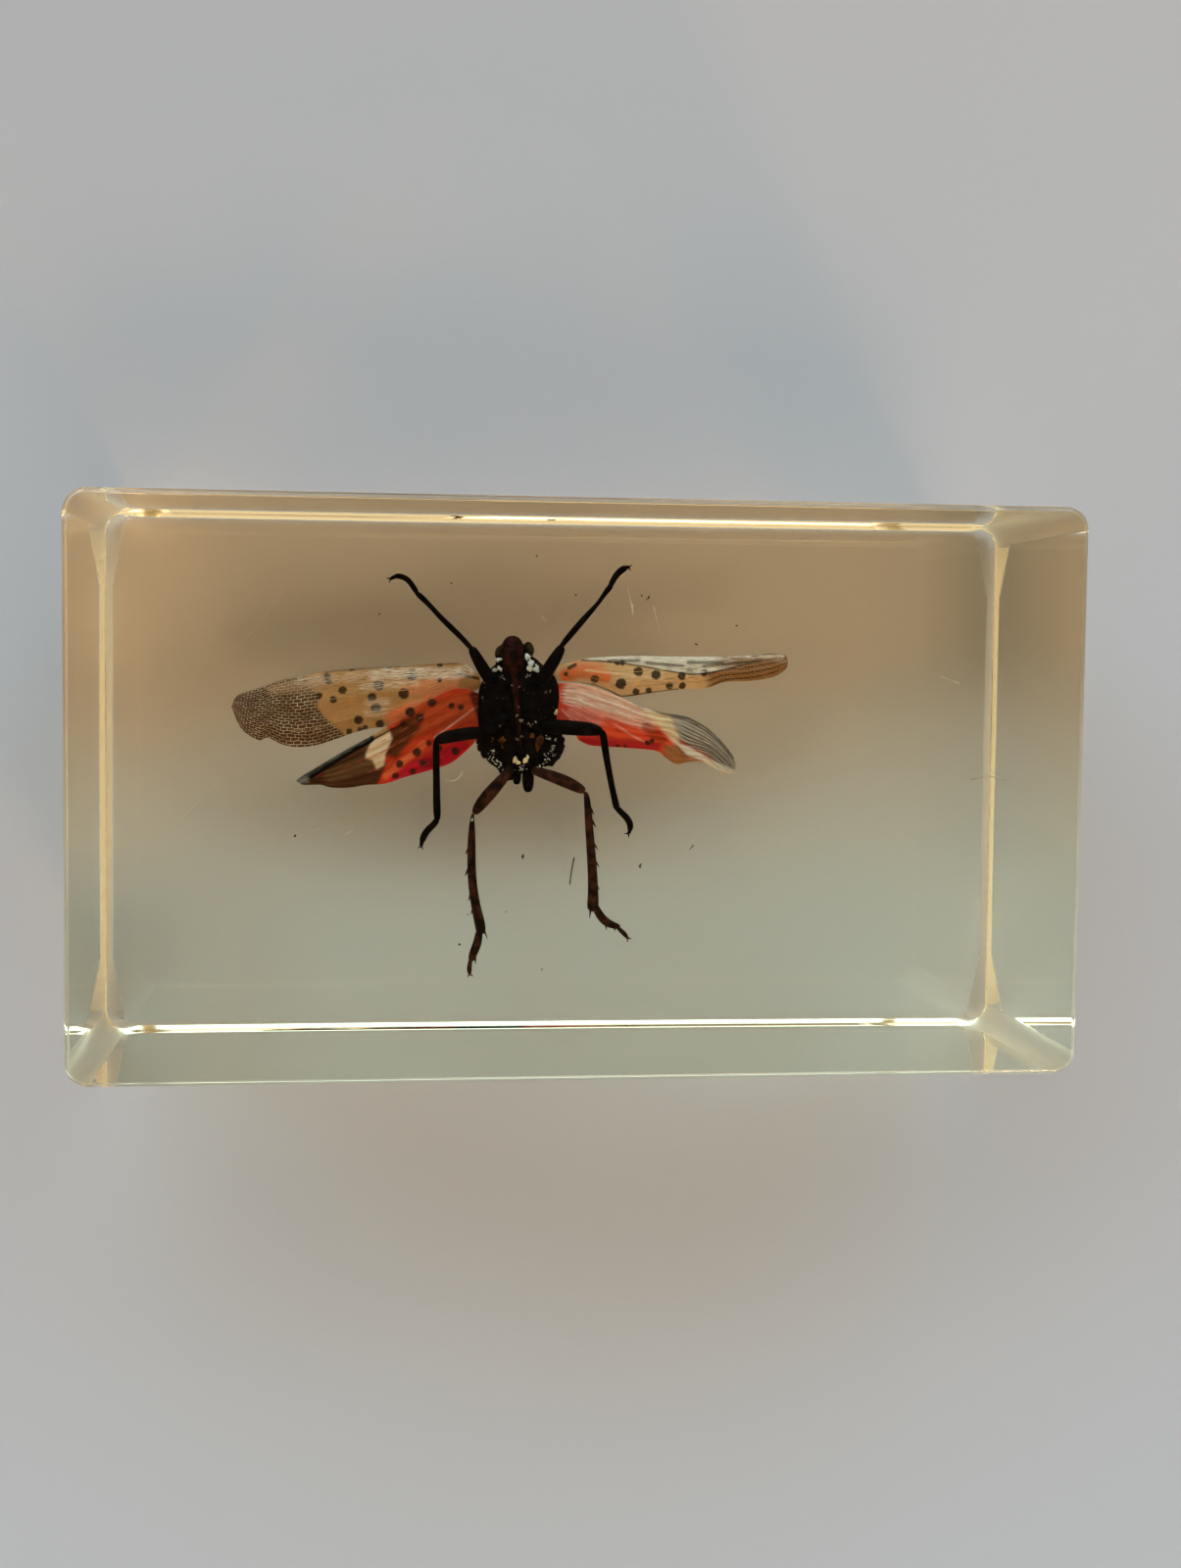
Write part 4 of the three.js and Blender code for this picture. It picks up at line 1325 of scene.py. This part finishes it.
crumbs("cream_patches", [
    (-4.55, 1.85, 14.6, 0.05, 3, 0.26), (-4.35, 1.6, 14.65, 0.04, 2, 0.22),
    (-3.75, 1.75, 14.6, 0.04, 2, 0.24), (-3.5, 1.95, 14.6, 0.05, 2, 0.22),
    (-1.4, 5.4, 14.0, 0.05, 3, 0.2), (-2.75, 1.15, 14.6, 0.06, 2, 0.2)],
    cream_wax, 8, fineness=2)
crumbs("amber_joint_skin", [
    (-5.45, 3.25, 14.5, 0.1, 4, 0.3), (-5.4, 2.75, 14.45, 0.08, 3, 0.25), (-2.7, 3.3, 14.6, 0.12, 4, 0.3),
    (-2.85, 2.75, 14.55, 0.08, 3, 0.25), (-3.2, 1.85, 14.5, 0.1, 3, 0.25), (-6.2, 3.45, 14.3, 0.15, 2, 0.2),
    (-3.2, 3.6, 14.6, 0.1, 2, 0.2), (-5.0, 1.3, 14.4, 0.1, 2, 0.2)],
    amber_cuticle, 9, fineness=2)

# %% [markdown]
# ## Dust, hair and scratches
#
# A few specks of dust, a dark hair and pale lint fell on the resin between pours, and years of handling have
# scratched its top lightly. The specks are copies of one crumb. The hair and the lint are very thin tubes
# where they lie, each through points (x, y, z). The scratches are thin tubes too, just under the top face,
# because a groove that fine would need far more faces than the rest of the block.

# %% Dust, hair and scratches
crumbs("dust_between_the_pours", [
    (-4.2, -5.1, 20, 0, 1, 0.13), (-5.4, -9.2, 20, 0, 1, 0.12), (-8.2, -9.4, 20, 0, 1, 0.12),
    (-8.8, -11.6, 20, 0, 1, 0.12), (-2.7, -13.5, 20, 0, 1, 0.14), (4.5, -5.8, 20, 0.1, 2, 0.12),
    (-9.6, 14.8, 20, 0, 1, 0.12), (-14.8, 12.5, 20, 0, 1, 0.13), (-3.4, 16.9, 20, 0, 1, 0.12),
    (4.7, 13.9, 20, 0.12, 3, 0.13), (-0.5, 14.1, 20, 0, 1, 0.12), (11.5, 12.0, 20, 0, 1, 0.12),
    (8.5, 10.6, 20, 0, 1, 0.12), (-20.8, -3.6, 20, 0, 1, 0.13),
    (8.4, -4.4, 20, 0.1, 2, 0.11)], brown_dust, 21)
LINES = {
    "dark_hair": (brown_dust, 0.05, [[(-0.4, -5.2, 20), (-0.6, -6.2, 20.1), (-0.7, -7.2, 20)]]),
    "pale_lint_and_scratches": (pale_scratch, 0.035, [
        [(-9.9, 0.5, 20), (-9.3, 0.4, 20), (-8.9, 0.7, 20.1), (-8.7, 1.1, 20)],
        [(-10.3, -8.0, 20), (-9.7, -8.05, 20)], [(-17.2, -3.5, 20), (-16.6, -3.2, 20)],
        [(3.7, 13.5, 20), (3.75, 12.8, 20)], [(-3.0, 12.5, 20), (-2.6, 12.1, 20)],
        [(2.7, 14.5, 26), (3.0, 13.4, 26), (3.1, 12.6, 26)], [(4.6, 13.2, 26), (5.1, 11.2, 26)],
        [(25.8, 8.4, 26), (27.2, 7.9, 26)], [(28.2, 0.9, 26), (29.6, 1.2, 26), (31.1, 0.8, 26)]]),
    "fine_scratches": (pale_scratch, 0.012, [
        [(-23.4, -4.5, 26), (-19.3, -2.8, 26), (-15.2, -1.6, 26)],
        [(-28.8, -2.3, 26), (-27.1, -0.6, 26), (-25.4, 1.1, 26)],
        [(-24.9, 9.6, 26), (-23.3, 11.4, 26), (-21.4, 14.1, 26)]]),
}
for name, (material, half_width, lines) in LINES.items():
    threads = []
    for line in lines:
        rings = [(*place, half_width, half_width) for place in line]
        threads.append(loft("thread", rings, sides=5, rounding=0))
    keep_in_block(join_pieces(name, threads), material)

# %% [markdown]
# ## How the picture is developed
#
# Light that reaches a sealed insect or the paper has bent in and out of the resin, so light focused by glossy
# and by clear surfaces (caustics) is kept, and not blurred. In a clear block light also runs from wall to
# wall many times. With the usual dozen bounces those paths end too early, and they leave black specks along
# the rim. The plain view transform shows colours as they were picked.

# %% Render look
BOUNCES = 48  # enough for light that runs between the walls of the block
scene = bpy.context.scene
scene.view_settings.view_transform = "Standard"
scene.cycles.caustics_refractive = True
scene.cycles.caustics_reflective = True
scene.cycles.max_bounces = BOUNCES
scene.cycles.transmission_bounces = BOUNCES
scene.cycles.glossy_bounces = BOUNCES
scene.cycles.blur_glossy = 0.0
print("light is followed for", BOUNCES, "bounces")
